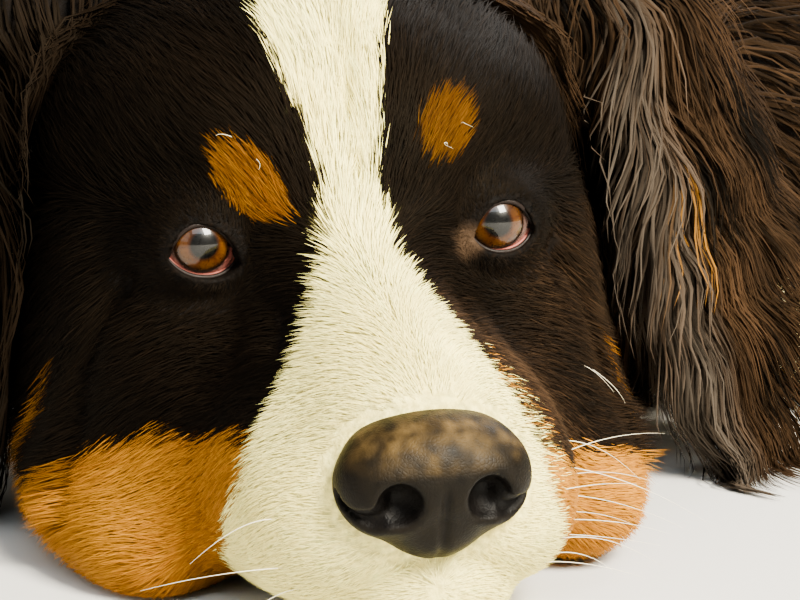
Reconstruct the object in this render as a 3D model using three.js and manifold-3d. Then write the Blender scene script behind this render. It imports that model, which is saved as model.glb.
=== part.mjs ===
// A Bernese mountain dog lying on its belly with its chin on the ground, life size, in millimetres.
// The floor is z = 0, the nose points to -Y, and +X is the dog's left.
//
// The flesh is one field, the smooth union of balls and tapered limbs, negative inside. Each part of
// the body is a run of rings round a spine, found by looking inwards along rays, so that two parts
// that share an end plane meet face to face. The coat is a core at half depth and locks out to the tips.

import * as THREE from "three";
import Module from "manifold-3d";

const wasm = await Module();
wasm.setup();

const GAP = 0.3;
const TURN = Math.PI * 2;
const vec = (x, y, z) => new THREE.Vector3(x, y, z);
const { degToRad, smoothstep, clamp, lerp } = THREE.MathUtils;
const SIDES = [["left", 1], ["right", -1]];

// Driving sizes of the dog

const EYE_HEIGHT = 97;
const EYE_X = 43;
const EYE_RADIUS = 11.5;
const EYE_OPENING = [10.5, 7.6];
const HEAD_YAW = 14;
const HEAD_PITCH = 8;
const HEAD_ROLL = -2.4;
const HEAD_END = 118;
const BODY_X = 12;
const BODY_Y = 62;
const BODY_START = 200;

const BODY_COAT = 34;
const NECK_COAT = 36;
const TAIL_COAT = 34;
const LEG_COAT = 9;
const PAW_COAT = 4;
const CHEEK_COAT = 11;
const MUZZLE_COAT = 2.5;
const CORE_SHARE = 0.42;

const BLACK = { color: 0x14110f, roughness: 0.7 };
const WHITE = { color: 0xe9e0cc, roughness: 0.85 };
const TAN = { color: 0x9a5a22, roughness: 0.8 };
const NOSE = { color: 0x1c1817, roughness: 0.45 };
const EYE = { color: 0x3a1d0a, roughness: 0.1 };
const HORN = { color: 0x3b342e, roughness: 0.4 };

// Fields: functions of a point that give its distance from a surface, negative inside

function ball(centre, radii, turn = [0, 0, 0]) {
  const [cx, cy, cz] = centre;
  const [rx, ry, rz] = radii;
  const back = new THREE.Matrix4()
    .makeRotationFromEuler(new THREE.Euler(...turn.map(degToRad), "XYZ"))
    .transpose();
  const q = vec(0, 0, 0);
  return (p) => {
    q.set(p.x - cx, p.y - cy, p.z - cz).applyMatrix4(back);
    const k0 = Math.hypot(q.x / rx, q.y / ry, q.z / rz);
    const k1 = Math.hypot(q.x / rx ** 2, q.y / ry ** 2, q.z / rz ** 2);
    return (k0 * (k0 - 1)) / Math.max(k1, 1e-9);
  };
}

function limb(a, b, radiusA, radiusB) {
  const start = vec(...a);
  const along = vec(...b).sub(start);
  const length2 = along.lengthSq();
  const q = vec(0, 0, 0);
  return (p) => {
    q.copy(p).sub(start);
    const t = clamp(q.dot(along) / length2, 0, 1);
    return q.addScaledVector(along, -t).length() - lerp(radiusA, radiusB, t);
  };
}

function soften(a, b, width) {
  const h = Math.max(width - Math.abs(a - b), 0) / width;
  return Math.min(a, b) - (h * h * width) / 4;
}

const blend = (fields, width) => (p) => fields.reduce((d, field) => soften(d, field(p), width), 1e3);
const grow = (field, by) => (p) => field(p) - (typeof by === "function" ? by(p) : by);
const onFloor = (field) => (p) => Math.max(field(p), -p.z);
const both = (make) => [make(1), make(-1)];

function chain(points, radii) {
  return blend(
    points.slice(1).map((point, i) => limb(points[i], point, radii[i], radii[i + 1])),
    20,
  );
}

function normalOf(field, p) {
  const e = 0.5;
  const q = p.clone();
  const slope = (axis) => {
    q.copy(p)[axis] += e;
    const ahead = field(q);
    q[axis] -= 2 * e;
    return ahead - field(q);
  };
  return vec(slope("x"), slope("y"), slope("z")).normalize();
}

// Head, in its own frame: the origin is between the eyes, y runs back and z up

const headFrame = new THREE.Matrix4()
  .makeTranslation(0, 0, EYE_HEIGHT)
  .multiply(new THREE.Matrix4().makeRotationZ(degToRad(HEAD_YAW)))
  .multiply(new THREE.Matrix4().makeRotationX(degToRad(HEAD_PITCH)))
  .multiply(new THREE.Matrix4().makeRotationY(degToRad(HEAD_ROLL)));
const headFrameBack = headFrame.clone().invert();
const headPoint = (x, y, z) => vec(x, y, z).applyMatrix4(headFrame);
const headWay = (x, y, z) => vec(x, y, z).transformDirection(headFrame);

function inHead(field) {
  const q = vec(0, 0, 0);
  return (p) => field(q.copy(p).applyMatrix4(headFrameBack));
}

const cranium = ball([0, 68, 12], [64, 82, 52]);
const brows = both((s) => ball([s * 25, 20, 20], [24, 25, 18]));
const temples = both((s) => ball([s * 44, 54, 8], [27, 44, 30]));
const cheeks = both((s) => ball([s * 50, 60, -34], [31, 50, 40]));
const jowls = both((s) => ball([s * 54, 42, -66], [32, 50, 34]));
const cheekbones = both((s) => ball([s * 44, 30, -24], [26, 36, 22]));
const lidPads = both((s) => ball([s * EYE_X, 4, 0], [17, 14, 13]));
const skull = blend([cranium, ...brows, ...temples, ...cheeks, ...jowls, ...cheekbones], 22);

const bridge = limb([0, -76, -32], [0, 8, -17], 17, 24);
const muzzle = ball([0, -44, -38], [36, 60, 27]);
const lipsFront = both((s) => ball([s * 17, -77, -55], [22, 23, 20]));
const flews = both((s) => ball([s * 28, -44, -57], [22, 44, 27]));
const lipCorners = both((s) => ball([s * 41, 0, -60], [23, 42, 27]));
const snout = blend([bridge, muzzle, ...lipsFront, ...flews, ...lipCorners], 14);
const lipSplay = both((s) => ball([s * 62, 0, -80], [23, 46, 17]));
function face(p) {
  const bones = lidPads.reduce((d, pad) => soften(d, pad(p), 8), soften(skull(p), snout(p), 32));
  return lipSplay.reduce((d, side) => soften(d, side(p), 20), bones);
}

const jawBones = both((s) => limb([s * 10, -80, -71], [s * 32, 40, -76], 15, 18));
const chin = ball([0, -84, -71], [17, 16, 14]);
const throat = ball([0, 50, -62], [48, 62, 34]);
const jawField = onFloor(inHead(grow(blend([...jawBones, chin, throat], 16), 2)));

const noseField = inHead(
  blend(
    [
      ball([0, -98, -36], [23, 15, 15]),
      ...both((s) => ball([s * 12.5, -98, -39], [12.5, 14, 12.5])),
      ball([0, -97, -50], [12, 12, 9]),
      ball([0, -91, -31], [18, 13, 8]),
    ],
    6,
  ),
);
const nostrilField = (s) =>
  inHead(
    blend([ball([s * 10.5, -113, -39], [4.6, 8, 5]), limb([s * 12, -112, -41], [s * 21, -105, -45], 2.6, 1.4)], 3),
  );
const philtrumField = inHead(limb([0, -114.5, -41], [0, -108, -60], 1.5, 1.3));

const eyeField = (s) =>
  inHead(
    blend([ball([s * EYE_X, 0, 0], Array(3).fill(EYE_RADIUS)), ball([s * (EYE_X + 0.6), -4.6, 0.4], [8, 8, 8])], 2),
  );

// Each ear has a frame of its own: out of its face, backwards across it, and up. The ground pushes the
// left ear out from the head, and the right one hangs close.
const EARS = {
  1: { root: [102, 88, 40], middle: [132, 75, -19], turn: [0, -9, -42], across: 32, lie: [0.3, 0.08, -1] },
  [-1]: { root: [84, 86, 46], middle: [103.5, 74, -18], turn: [0, 0, 0], across: 39, lie: [0.1, 0.12, -1] },
};
function earPlace(s) {
  const { middle, turn } = EARS[s];
  const around = new THREE.Euler(...turn.map((angle) => degToRad(s * angle)), "XYZ");
  return (out, across, up) =>
    vec(s * out, across, up)
      .applyEuler(around)
      .add(vec(s * middle[0], middle[1], middle[2]));
}
function earBall(s, place, radii) {
  const turn = EARS[s].turn.map((angle) => s * angle);
  return ball(earPlace(s)(...place).toArray(), radii, turn);
}
const earField = (s) =>
  onFloor(
    inHead(
      blend(
        [
          limb([s * 58, 92, 40], EARS[s].root.map((v, i) => (i ? v : s * v)), 22, 18),
          earBall(s, [-3.5, 4, 24], [12, EARS[s].across + 3, 50]),
          earBall(s, [3.5, -4, -25], [10, EARS[s].across - 3, 47]),
        ],
        18,
      ),
    ),
  );
const earOuter = (s) => blend([grow(earField(s), 9), inHead(earBall(s, [4.5, -2, -44], [9, 32, 38]))], 14);
const earCupField = (s) => inHead(earBall(s, [-13.5, 0, 0], [11, EARS[s].across - 10, 46]));

// Body, in the floor's frame

const onBody = (x, y, z) => [BODY_X + x, BODY_Y + y, z];

const neckFlesh = blend(
  [
    limb([-30, 132, 98], onBody(0, 275, 196), 58, 104),
    ball(onBody(0, 180, 80), [90, 84, 76]),
    ...both((s) => ball(onBody(s * 84, 158, 84), [62, 60, 68])),
  ],
  40,
);
const shoulders = both((s) => ball(onBody(s * 88, 268, 188), [48, 80, 116], [0, s * -14, 0]));
const upperArms = both((s) => limb(onBody(s * 100, 218, 140), onBody(s * 142, 335, 62), 56, 46));
const thighs = both((s) => ball(onBody(s * 120, 668, 128), [66, 128, 112]));
const knees = both((s) => ball(onBody(s * 158, 582, 88), [44, 52, 62]));
const bodyFlesh = blend(
  [
    ball(onBody(0, 345, 172), [125, 185, 165]),
    ball(onBody(0, 330, 255), [70, 130, 85]),
    ball(onBody(0, 215, 95), [84, 60, 85]),
    ball(onBody(0, 520, 146), [132, 210, 152]),
    limb(onBody(0, 420, 210), onBody(0, 760, 200), 82, 80),
    ball(onBody(0, 750, 172), [112, 118, 112]),
    ...shoulders,
    ...upperArms,
    ...thighs,
    ...knees,
  ],
  44,
);
const flesh = blend([inHead(face), neckFlesh, bodyFlesh], 30);

// Depth of the coat: short on the muzzle, thin at the eyes, deep from the ruff on, flattened low down.
const headY = (p) => p.clone().applyMatrix4(headFrameBack).y;
function coatDepth(p) {
  const q = p.clone().applyMatrix4(headFrameBack);
  const fromEye = Math.hypot(Math.abs(q.x) - EYE_X, q.y + EYE_RADIUS, q.z);
  const atEye = lerp(0.35, 1, smoothstep(fromEye, 9, 26));
  const onFace = lerp(MUZZLE_COAT, CHEEK_COAT, smoothstep(q.y, -30, 70)) * atEye;
  const behind = lerp(NECK_COAT, BODY_COAT, smoothstep(p.y - BODY_Y, 200, 320));
  return lerp(onFace, behind * lerp(0.55, 1, smoothstep(p.z, 0, 90)), smoothstep(q.y, 80, 170));
}
const coreDepth = (p) => coatDepth(p) * lerp(1, CORE_SHARE, smoothstep(headY(p), 80, 130));
const outer = onFloor(grow(flesh, coatDepth));
const core = onFloor(grow(flesh, coreDepth));

const forearmField = (s) =>
  onFloor(
    grow(
      blend(
        [ball(onBody(s * 150, 348, 46), [36, 40, 48]), limb(onBody(s * 152, 330, 42), onBody(s * 190, 128, 30), 40, 26)],
        20,
      ),
      LEG_COAT,
    ),
  );
const hockField = (s) =>
  onFloor(
    grow(
      blend(
        [
          limb(onBody(s * 172, 610, 60), onBody(s * 182, 785, 40), 38, 26),
          ball(onBody(s * 182, 797, 34), [22, 26, 32]),
          limb(onBody(s * 184, 785, 24), onBody(s * 192, 650, 24), 21, 23),
        ],
        14,
      ),
      LEG_COAT,
    ),
  );

function pawShape(centre, heading, length) {
  const turn = degToRad(heading);
  const place = (side, ahead, up) => [
    centre[0] + side * Math.cos(turn) + ahead * Math.sin(turn),
    centre[1] + side * Math.sin(turn) - ahead * Math.cos(turn),
    up,
  ];
  const toes = [-1.5, -0.5, 0.5, 1.5].map((n) => {
    const reach = length * (0.5 - Math.abs(n) * 0.06);
    return { n, reach, field: limb(place(n * 16, length * 0.12, 24), place(n * 17.5, reach, 15), 13, 12) };
  });
  const pad = ball(place(0, -length * 0.16, 22), [31, length * 0.36, 25], [0, 0, heading]);
  const field = onFloor(grow(blend([pad, ...toes.map((toe) => toe.field)], 7), PAW_COAT));
  return { field, place, toes, length };
}

const TAIL_LINE = [
  [0, 838, 205],
  [8, 905, 132],
  [40, 975, 68],
  [110, 1040, 45],
  [205, 1062, 38],
  [290, 1035, 30],
].map(([x, y, z]) => vec(...onBody(x, y, z)));
const TAIL_RADII = [36, 31, 28, 26, 22, 12];
const tailFlesh = chain(TAIL_LINE.map((p) => p.toArray()), TAIL_RADII);
const tailOuter = onFloor(grow(tailFlesh, TAIL_COAT));
const tailCore = onFloor(grow(tailFlesh, TAIL_COAT * CORE_SHARE));

// Surfaces

// Walks in from far out along a ray until the field turns negative, then halves the step.
function surfaceOn(field, centre, direction, reach) {
  const p = vec(0, 0, 0);
  const at = (t) => field(p.copy(centre).addScaledVector(direction, t));
  const step = reach / 90;
  let far = reach;
  while (far > step && at(far - step) > 0) far -= step;
  let near = far - step;
  for (let i = 0; i < 20; i++) {
    const mid = (near + far) / 2;
    if (at(mid) > 0) far = mid;
    else near = mid;
  }
  return centre.clone().addScaledVector(direction, (near + far) / 2);
}

function closed(corners, around) {
  const faces = [];
  const ringCount = (corners.length - 2) / around;
  const at = (i, j) => 1 + i * around + (j % around);
  const last = corners.length - 1;
  for (let j = 0; j < around; j++) {
    faces.push(0, at(0, j + 1), at(0, j));
    for (let i = 0; i < ringCount - 1; i++) {
      faces.push(at(i, j), at(i, j + 1), at(i + 1, j + 1), at(i, j), at(i + 1, j + 1), at(i + 1, j));
    }
    faces.push(last, at(ringCount - 1, j), at(ringCount - 1, j + 1));
  }
  return outward({ corners, faces });
}

// The same surface with its faces turned to look outwards.
function outward({ corners, faces }) {
  let volume = 0;
  for (let i = 0; i < faces.length; i += 3) {
    const [a, b, c] = [corners[faces[i]], corners[faces[i + 1]], corners[faces[i + 2]]];
    volume += a.dot(b.clone().cross(c));
  }
  if (volume > 0) return { corners, faces };
  const turned = faces.slice();
  for (let i = 0; i < turned.length; i += 3) [turned[i + 1], turned[i + 2]] = [turned[i + 2], turned[i + 1]];
  return { corners, faces: turned };
}

// A closed surface round a spine. At each end it has a pole, or a flat end square to the way given there.
function skinRound(field, spine, count, around, reach, { flatStart, flatEnd, lean = 1 } = {}) {
  const way = (t) => (spine.way ? spine.way(t) : spine.to.clone().sub(spine.from).normalize());
  const first = flatStart ? spine.from : surfaceOn(field, spine.from, way(0).negate(), reach);
  const last = flatEnd ? spine.to : surfaceOn(field, spine.to, way(1), reach);
  const line = spine.curve ? spine.curve(first, last) : new THREE.LineCurve3(first, last);
  const corners = [first.clone()];
  for (let i = flatStart ? 0 : 1; i <= (flatEnd ? count : count - 1); i++) {
    const t = i / count;
    const from = flatStart ? (flatEnd ? t : Math.sin((t * Math.PI) / 2)) : 1 - Math.cos((t * Math.PI) / 2);
    const eased = flatStart || flatEnd ? from : (1 - Math.cos(t * Math.PI)) / 2;
    const share = (eased * 0.75 + t * 0.25) ** lean;
    const centre = line.getPointAt(share);
    const along = way(share);
    const up = Math.abs(along.z) > 0.8 ? vec(0, -1, 0) : vec(0, 0, 1);
    const side = along.clone().cross(up).normalize();
    const over = side.clone().cross(along).normalize();
    for (let j = 0; j < around; j++) {
      const angle = (TURN * j) / around;
      const out = side.clone().multiplyScalar(Math.cos(angle)).addScaledVector(over, Math.sin(angle));
      corners.push(surfaceOn(field, centre, out, reach));
    }
  }
  corners.push(last.clone());
  for (const corner of corners) if (Math.abs(corner.z) < 0.02) corner.z = 0;
  return closed(corners, around);
}

const straight = (from, to, startWay, endWay) => ({
  from,
  to,
  way: startWay && ((t) => startWay.clone().lerp(endWay, t).normalize()),
});

// Moves every corner out so far that each face round it clears the old one by the margin.
function swollen({ corners, faces }, margin) {
  const normals = [];
  const round = corners.map(() => []);
  for (let i = 0; i < faces.length; i += 3) {
    const [a, b, c] = [corners[faces[i]], corners[faces[i + 1]], corners[faces[i + 2]]];
    const normal = b.clone().sub(a).cross(c.clone().sub(a));
    for (let k = 0; k < 3; k++) round[faces[i + k]].push(normal);
    normals.push(normal);
  }
  const moved = corners.map((corner, i) => {
    const out = vec(0, 0, 0);
    for (const normal of round[i]) out.addScaledVector(normal, 1 / Math.sqrt(normal.length() + 1e-9));
    out.normalize();
    const least = Math.min(...round[i].map((normal) => out.dot(normal) / (normal.length() + 1e-9)));
    return corner.clone().addScaledVector(out, margin / Math.max(least, 0.25));
  });
  return { corners: moved, faces };
}

function solid({ corners, faces }) {
  const vertProperties = new Float32Array(corners.length * 3);
  corners.forEach((c, i) => vertProperties.set([c.x, c.y, c.z], i * 3));
  return new wasm.Manifold(new wasm.Mesh({ numProp: 3, vertProperties, triVerts: new Uint32Array(faces) }));
}

// A tube along a closed line of points.
function ringTube(line, radius, around) {
  const curve = new THREE.CatmullRomCurve3(line, true);
  const count = line.length;
  const { normals, binormals } = curve.computeFrenetFrames(count, true);
  const corners = [];
  for (let i = 0; i < count; i++) {
    for (let j = 0; j < around; j++) {
      const angle = (TURN * j) / around;
      corners.push(
        curve
          .getPointAt(i / count)
          .addScaledVector(normals[i], radius * Math.cos(angle))
          .addScaledVector(binormals[i], radius * Math.sin(angle)),
      );
    }
  }
  const faces = [];
  const at = (i, j) => (i % count) * around + (j % around);
  for (let i = 0; i < count; i++) {
    for (let j = 0; j < around; j++) {
      faces.push(at(i, j), at(i + 1, j), at(i + 1, j + 1), at(i, j), at(i + 1, j + 1), at(i, j + 1));
    }
  }
  return outward({ corners, faces });
}

// A block with one outline at its near end and the same at its far end.
function block(near, far) {
  const count = near.length;
  const faces = [];
  for (let i = 0; i < count; i++) {
    const next = (i + 1) % count;
    faces.push(i, next, count + next, i, count + next, count + i);
    if (i > 1) faces.push(0, i, i - 1, count, count + i - 1, count + i);
  }
  return outward({ corners: [...near, ...far], faces });
}

// Outline of two circles and the straight lines that join them, in the plane of y and z.
function strapOutline([y1, z1, r1], [y2, z2, r2], count) {
  return Array.from({ length: count }, (_, i) => {
    const angle = (TURN * i) / count;
    const [cos, sin] = [Math.cos(angle), Math.sin(angle)];
    const reach1 = y1 * cos + z1 * sin + r1;
    const reach2 = y2 * cos + z2 * sin + r2;
    return reach1 > reach2 ? [y1 + r1 * cos, z1 + r1 * sin] : [y2 + r2 * cos, z2 + r2 * sin];
  });
}

// The almond outline between two lids, as seen from the front.
function eyeOutline(s, count) {
  const [halfWidth, halfHeight] = EYE_OPENING;
  return Array.from({ length: count }, (_, i) => {
    const angle = (TURN * i) / count;
    const across = Math.cos(angle);
    const z = halfHeight * Math.sin(angle) * (1 - 0.28 * across * across) - 0.12 * halfWidth * across;
    return [s * (EYE_X - halfWidth * across), z];
  });
}

// Locks: flat tapered wedges of three sides that leave the core, bend over and end at the coat's tips

let seed = 20117;
function chance(low, high) {
  seed = (seed * 1103515245 + 12345) % 2147483648;
  return low + ((high - low) * seed) / 2147483648;
}

const LOCK_STEPS = 3;
const LOCK_WIDTHS = [0.75, 1, 0.78];
const LOCK_HEIGHTS = [-1.1, -0.6, -0.22, 0];

function toLevel(field, p, level) {
  for (let i = 0; i < 3; i++) p.addScaledVector(normalOf(field, p), level - field(p));
  return p;
}

// The field is the coat's outer surface, the depth how far below it the core lies.
function lock(field, depth, lie, start, { length, width, thick }) {
  const track = toLevel(field, start.clone(), -depth * 0.5);
  const centres = [];
  const sway = chance(-0.22, 0.22);
  for (let k = 0; k <= LOCK_STEPS; k++) {
    const normal = normalOf(field, track);
    const way = lie(track, normal).clone();
    way.addScaledVector(normal, -way.dot(normal)).normalize();
    way.applyAxisAngle(normal, sway * Math.sin(k * 1.3));
    const centre = toLevel(field, track.clone(), depth * LOCK_HEIGHTS[k] - (k ? 0 : thick * 0.4));
    centre.z = Math.max(centre.z, k === LOCK_STEPS ? 3 : 4);
    centres.push({ centre, normal, way });
    track.addScaledVector(way, length / LOCK_STEPS);
    track.z = Math.max(track.z, 8);
    toLevel(field, track, -depth * 0.5);
    track.z = Math.max(track.z, 8);
  }
  const corners = [centres[0].centre.clone().addScaledVector(centres[0].normal, -2)];
  for (let k = 0; k < LOCK_STEPS; k++) {
    const { centre, normal, way } = centres[k];
    const side = way.clone().cross(normal).normalize();
    const half = (width * LOCK_WIDTHS[k]) / 2;
    const rise = thick * LOCK_WIDTHS[k];
    const ridge = centre.clone().addScaledVector(normal, rise * 0.35);
    const edges = [1, -1].map((e) => {
      const edge = centre.clone().addScaledVector(side, e * half);
      toLevel(field, edge, field(centre) - rise * 0.65);
      edge.z = Math.max(edge.z, 0.6);
      return edge;
    });
    corners.push(edges[0], ridge, edges[1]);
  }
  corners.push(centres[LOCK_STEPS].centre.clone());
  return closed(corners, 3);
}

// Parts

const parts = new Map();

// Each part gives way to those before it: the clearances are the earlier parts, slightly swollen.
function add(name, look, surface, { openings = [], joined = [], cuts = [], locks = [], within } = {}) {
  const reach = new THREE.Box3().setFromPoints([surface, ...joined, ...locks].flatMap((one) => one.corners));
  reach.expandByScalar(2 * GAP);
  let body = solid(surface);
  let room = solid(swollen(surface, GAP));
  const apply = (how, ...others) => {
    for (const other of others) {
      const made = body[how](other);
      body.delete();
      body = made;
    }
  };
  apply("subtract", ...openings.map(solid));
  apply("add", ...joined.map(solid));
  apply("subtract", ...cuts.map(solid));
  if (within) {
    apply("intersect", solid(within));
    room = room.intersect(solid(swollen(within, GAP)));
  }
  apply("add", ...locks.map(solid));
  const clearance = [room, ...[...joined, ...locks].map((one) => solid(swollen(one, GAP)))];
  for (const other of parts.values()) {
    if (other.reach.intersectsBox(reach)) apply("subtract", ...other.clearance, other.body);
  }
  parts.set(name, { look, reach, body: largest(body), clearance });
}

const largest = (made) =>
  made.decompose().reduce((best, piece) => (piece.volume() > best.volume() ? piece : best));

for (const [side, s] of SIDES) {
  const gaze = straight(headPoint(s * EYE_X, 4, 0), headPoint(s * EYE_X, -2, 0));
  add("eye_" + side, EYE, skinRound(eyeField(s), gaze, 7, 10, 18));
}

const noseCuts = SIDES.map(([, s]) =>
  skinRound(nostrilField(s), straight(headPoint(s * 10, -113, -39), headPoint(s * 16, -109, -43)), 6, 7, 14),
);
noseCuts.push(skinRound(philtrumField, straight(headPoint(0, -113, -45), headPoint(0, -110, -55)), 5, 6, 14));
const noseSpine = straight(headPoint(0, -86, -37), headPoint(0, -98, -38));
add("nose", NOSE, skinRound(noseField, noseSpine, 8, 16, 40, { flatStart: true }), { cuts: noseCuts });

for (const [side, s] of SIDES) {
  const place = earPlace(s);
  const inEar = (out, across, up) => place(out, across, up).applyMatrix4(headFrame);
  const spine = straight(inEar(-6, 5, 52), inEar(2.5, -4, -42));
  const cup = skinRound(earCupField(s), straight(inEar(-13.5, 0, 23), inEar(-12.5, 0, -22)), 6, 8, 70);
  const lie = headWay(s * EARS[s].lie[0], EARS[s].lie[1], EARS[s].lie[2]);
  const locks = [];
  for (let tier = 0; tier < 3; tier++) {
    for (let i = 0; i < 3; i++) {
      const across = (i - 1) * (EARS[s].across - 15) + (tier % 2) * 8 + 2;
      const start = inEar(21.5, across, 52 - tier * 34 - i * 3);
      locks.push(lock(earOuter(s), 9, () => lie, start, { length: 66, width: 25, thick: 3.5 }));
    }
  }
  add("ear_" + side, BLACK, skinRound(earField(s), spine, 10, 12, 110), { cuts: [cup], locks });
}

for (const [side, s] of SIDES) {
  const fore = pawShape(onBody(s * 203, 62, 0), s * 10, 118);
  const hind = pawShape(onBody(s * 195, 600, 0), s * 6, 112);
  for (const [place, paw] of [["fore", fore], ["hind", hind]]) {
    paw.toes.forEach(({ n, reach }, i) => {
      const root = vec(...paw.place(n * 17.5, reach + 6, 14));
      const tip = vec(...paw.place(n * 18, reach + 23, 4.5));
      const claw = limb(root.toArray(), tip.toArray(), 4.2, 1.6);
      add(`claw_${place}_${side}_${i + 1}`, HORN, skinRound(claw, straight(root, tip), 3, 6, 12));
    });
    const spine = straight(
      vec(...paw.place(0, -paw.length * 0.3, 20)),
      vec(...paw.place(0, paw.length * 0.3, 17)),
    );
    add(`${place}paw_${side}`, WHITE, skinRound(paw.field, spine, 9, 12, 70));
  }
}

const headSpine = straight(headPoint(0, -84, -48), headPoint(0, HEAD_END, -10));
const headSurface = skinRound(core, headSpine, 23, 28, 170, { flatEnd: true, lean: 1.1 });
const eyeOpenings = [];
const lidRims = [];
for (const [, s] of SIDES) {
  const outline = eyeOutline(s, 12);
  eyeOpenings.push(block(outline.map(([x, z]) => headPoint(x, -50, z)), outline.map(([x, z]) => headPoint(x, -2, z))));
  const lid = eyeOutline(s, 12).map(([x, z]) => {
    const out = Math.hypot(x - s * EYE_X, z);
    return headPoint(x, -Math.sqrt(Math.max((EYE_RADIUS + 1.2) ** 2 - out * out, 20)), z);
  });
  lidRims.push(ringTube(lid, 1.7, 4));
}
add("head", BLACK, headSurface, { openings: eyeOpenings, joined: lidRims });

add("jaw", WHITE, skinRound(jawField, straight(headPoint(0, -76, -74), headPoint(0, 60, -66)), 11, 12, 110));

for (const [side, s] of SIDES) {
  const arm = straight(vec(...onBody(s * 152, 330, 44)), vec(...onBody(s * 188, 140, 30)));
  add("forearm_" + side, TAN, skinRound(forearmField(s), arm, 9, 11, 90));
  const shin = straight(vec(...onBody(s * 182, 780, 32)), vec(...onBody(s * 190, 650, 28)));
  add("hock_" + side, TAN, skinRound(hockField(s), shin, 9, 11, 90));
}

// Neck and torso are one surface with a flat cut between them. A shoulder with its upper arm, and a
// thigh, is what an upright outline from the side cuts out of the torso.
const BACKWARDS = vec(0, 1, 0);
const bodyCut = (y) => vec(...onBody(0, y, 140));
const neckSpine = straight(headPoint(0, HEAD_END + GAP, -10), bodyCut(BODY_START), headWay(0, 1, 0), BACKWARDS);
const neckSurface = skinRound(core, neckSpine, 4, 24, 260, { flatStart: true, flatEnd: true });
const torsoSpine = straight(bodyCut(BODY_START + GAP), vec(...onBody(0, 760, 150)), BACKWARDS, BACKWARDS);
const torsoSurface = skinRound(core, torsoSpine, 14, 24, 300, { flatStart: true });

const LEG_ROOTS = {
  upper_arm: strapOutline([272, 205, 84], [345, 66, 62], 12),
  thigh: strapOutline([685, 128, 122], [585, 84, 66], 12),
};
const ROOT_INNER = 70;
const legBlock = (outline, s) =>
  block(
    outline.map(([y, z]) => vec(...onBody(s * ROOT_INNER, y, z - 5))),
    outline.map(([y, z]) => vec(...onBody(s * 320, y, z - 5))),
  );

function insideOutline(outline, y, z) {
  let inside = false;
  for (let i = 0, j = outline.length - 1; i < outline.length; j = i++) {
    const [yi, zi] = outline[i];
    const [yj, zj] = outline[j];
    if (zi > z !== zj > z && y < ((yj - yi) * (z - zi)) / (zj - zi) + yi) inside = !inside;
  }
  return inside;
}

function ownerOf(p) {
  const [x, y] = [p.x - BODY_X, p.y - BODY_Y];
  if (y < BODY_START) return "neck";
  for (const [name, outline] of Object.entries(LEG_ROOTS)) {
    if (Math.abs(x) > ROOT_INNER && insideOutline(outline, y, p.z)) return name + (x > 0 ? "_left" : "_right");
  }
  return "torso";
}

// Backwards along the spine, down the sides, and straight down the rump and the ruff
function bodyLie(p, normal) {
  const ruff = 1 - smoothstep(p.y - BODY_Y, 90, 240);
  const rump = smoothstep(p.y - BODY_Y, 780, 880);
  const down = 0.35 + 0.45 * ruff + 0.9 * rump;
  return vec(0, 1 - 0.4 * ruff - 0.6 * rump, -down * (0.25 + Math.abs(normal.x)) - 0.5 * rump);
}

const ROW_STEP = 77;
const LOCK_WIDTH = 60;
const LOCK_TURN = 25;
const bodyLocks = new Map();
for (let row = 0; row < 11; row++) {
  const y = 62 + row * ROW_STEP;
  const back = clamp((y - 60) / (BODY_START - 60), 0, 1);
  const centre = vec(...onBody(lerp(-38, 0, back), y, lerp(105, 140, back)));
  for (let i = -4; i <= 4; i++) {
    const angle = (i + (row % 2 ? 0.5 : 0)) * LOCK_TURN + chance(-2, 2);
    const out = vec(Math.sin(degToRad(angle)), 0, Math.cos(degToRad(angle)));
    const start = surfaceOn(outer, centre, out, 300);
    const owner = ownerOf(start);
    const one = lock(outer, coatDepth(start) * (1 - CORE_SHARE), bodyLie, start, {
      length: ROW_STEP * chance(1.7, 1.95),
      width: LOCK_WIDTH * chance(0.92, 1.08),
      thick: 4.5,
    });
    bodyLocks.set(owner, [...(bodyLocks.get(owner) ?? []), one]);
  }
}
const locksOf = (name) => bodyLocks.get(name) ?? [];

for (const [name, outline] of Object.entries(LEG_ROOTS)) {
  for (const [side, s] of SIDES) {
    const node = `${name}_${side}`;
    add(node, BLACK, torsoSurface, { within: legBlock(outline, s), locks: locksOf(node) });
  }
}
add("neck", BLACK, neckSurface, { locks: locksOf("neck") });
add("torso", BLACK, torsoSurface, { locks: locksOf("torso") });

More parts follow.
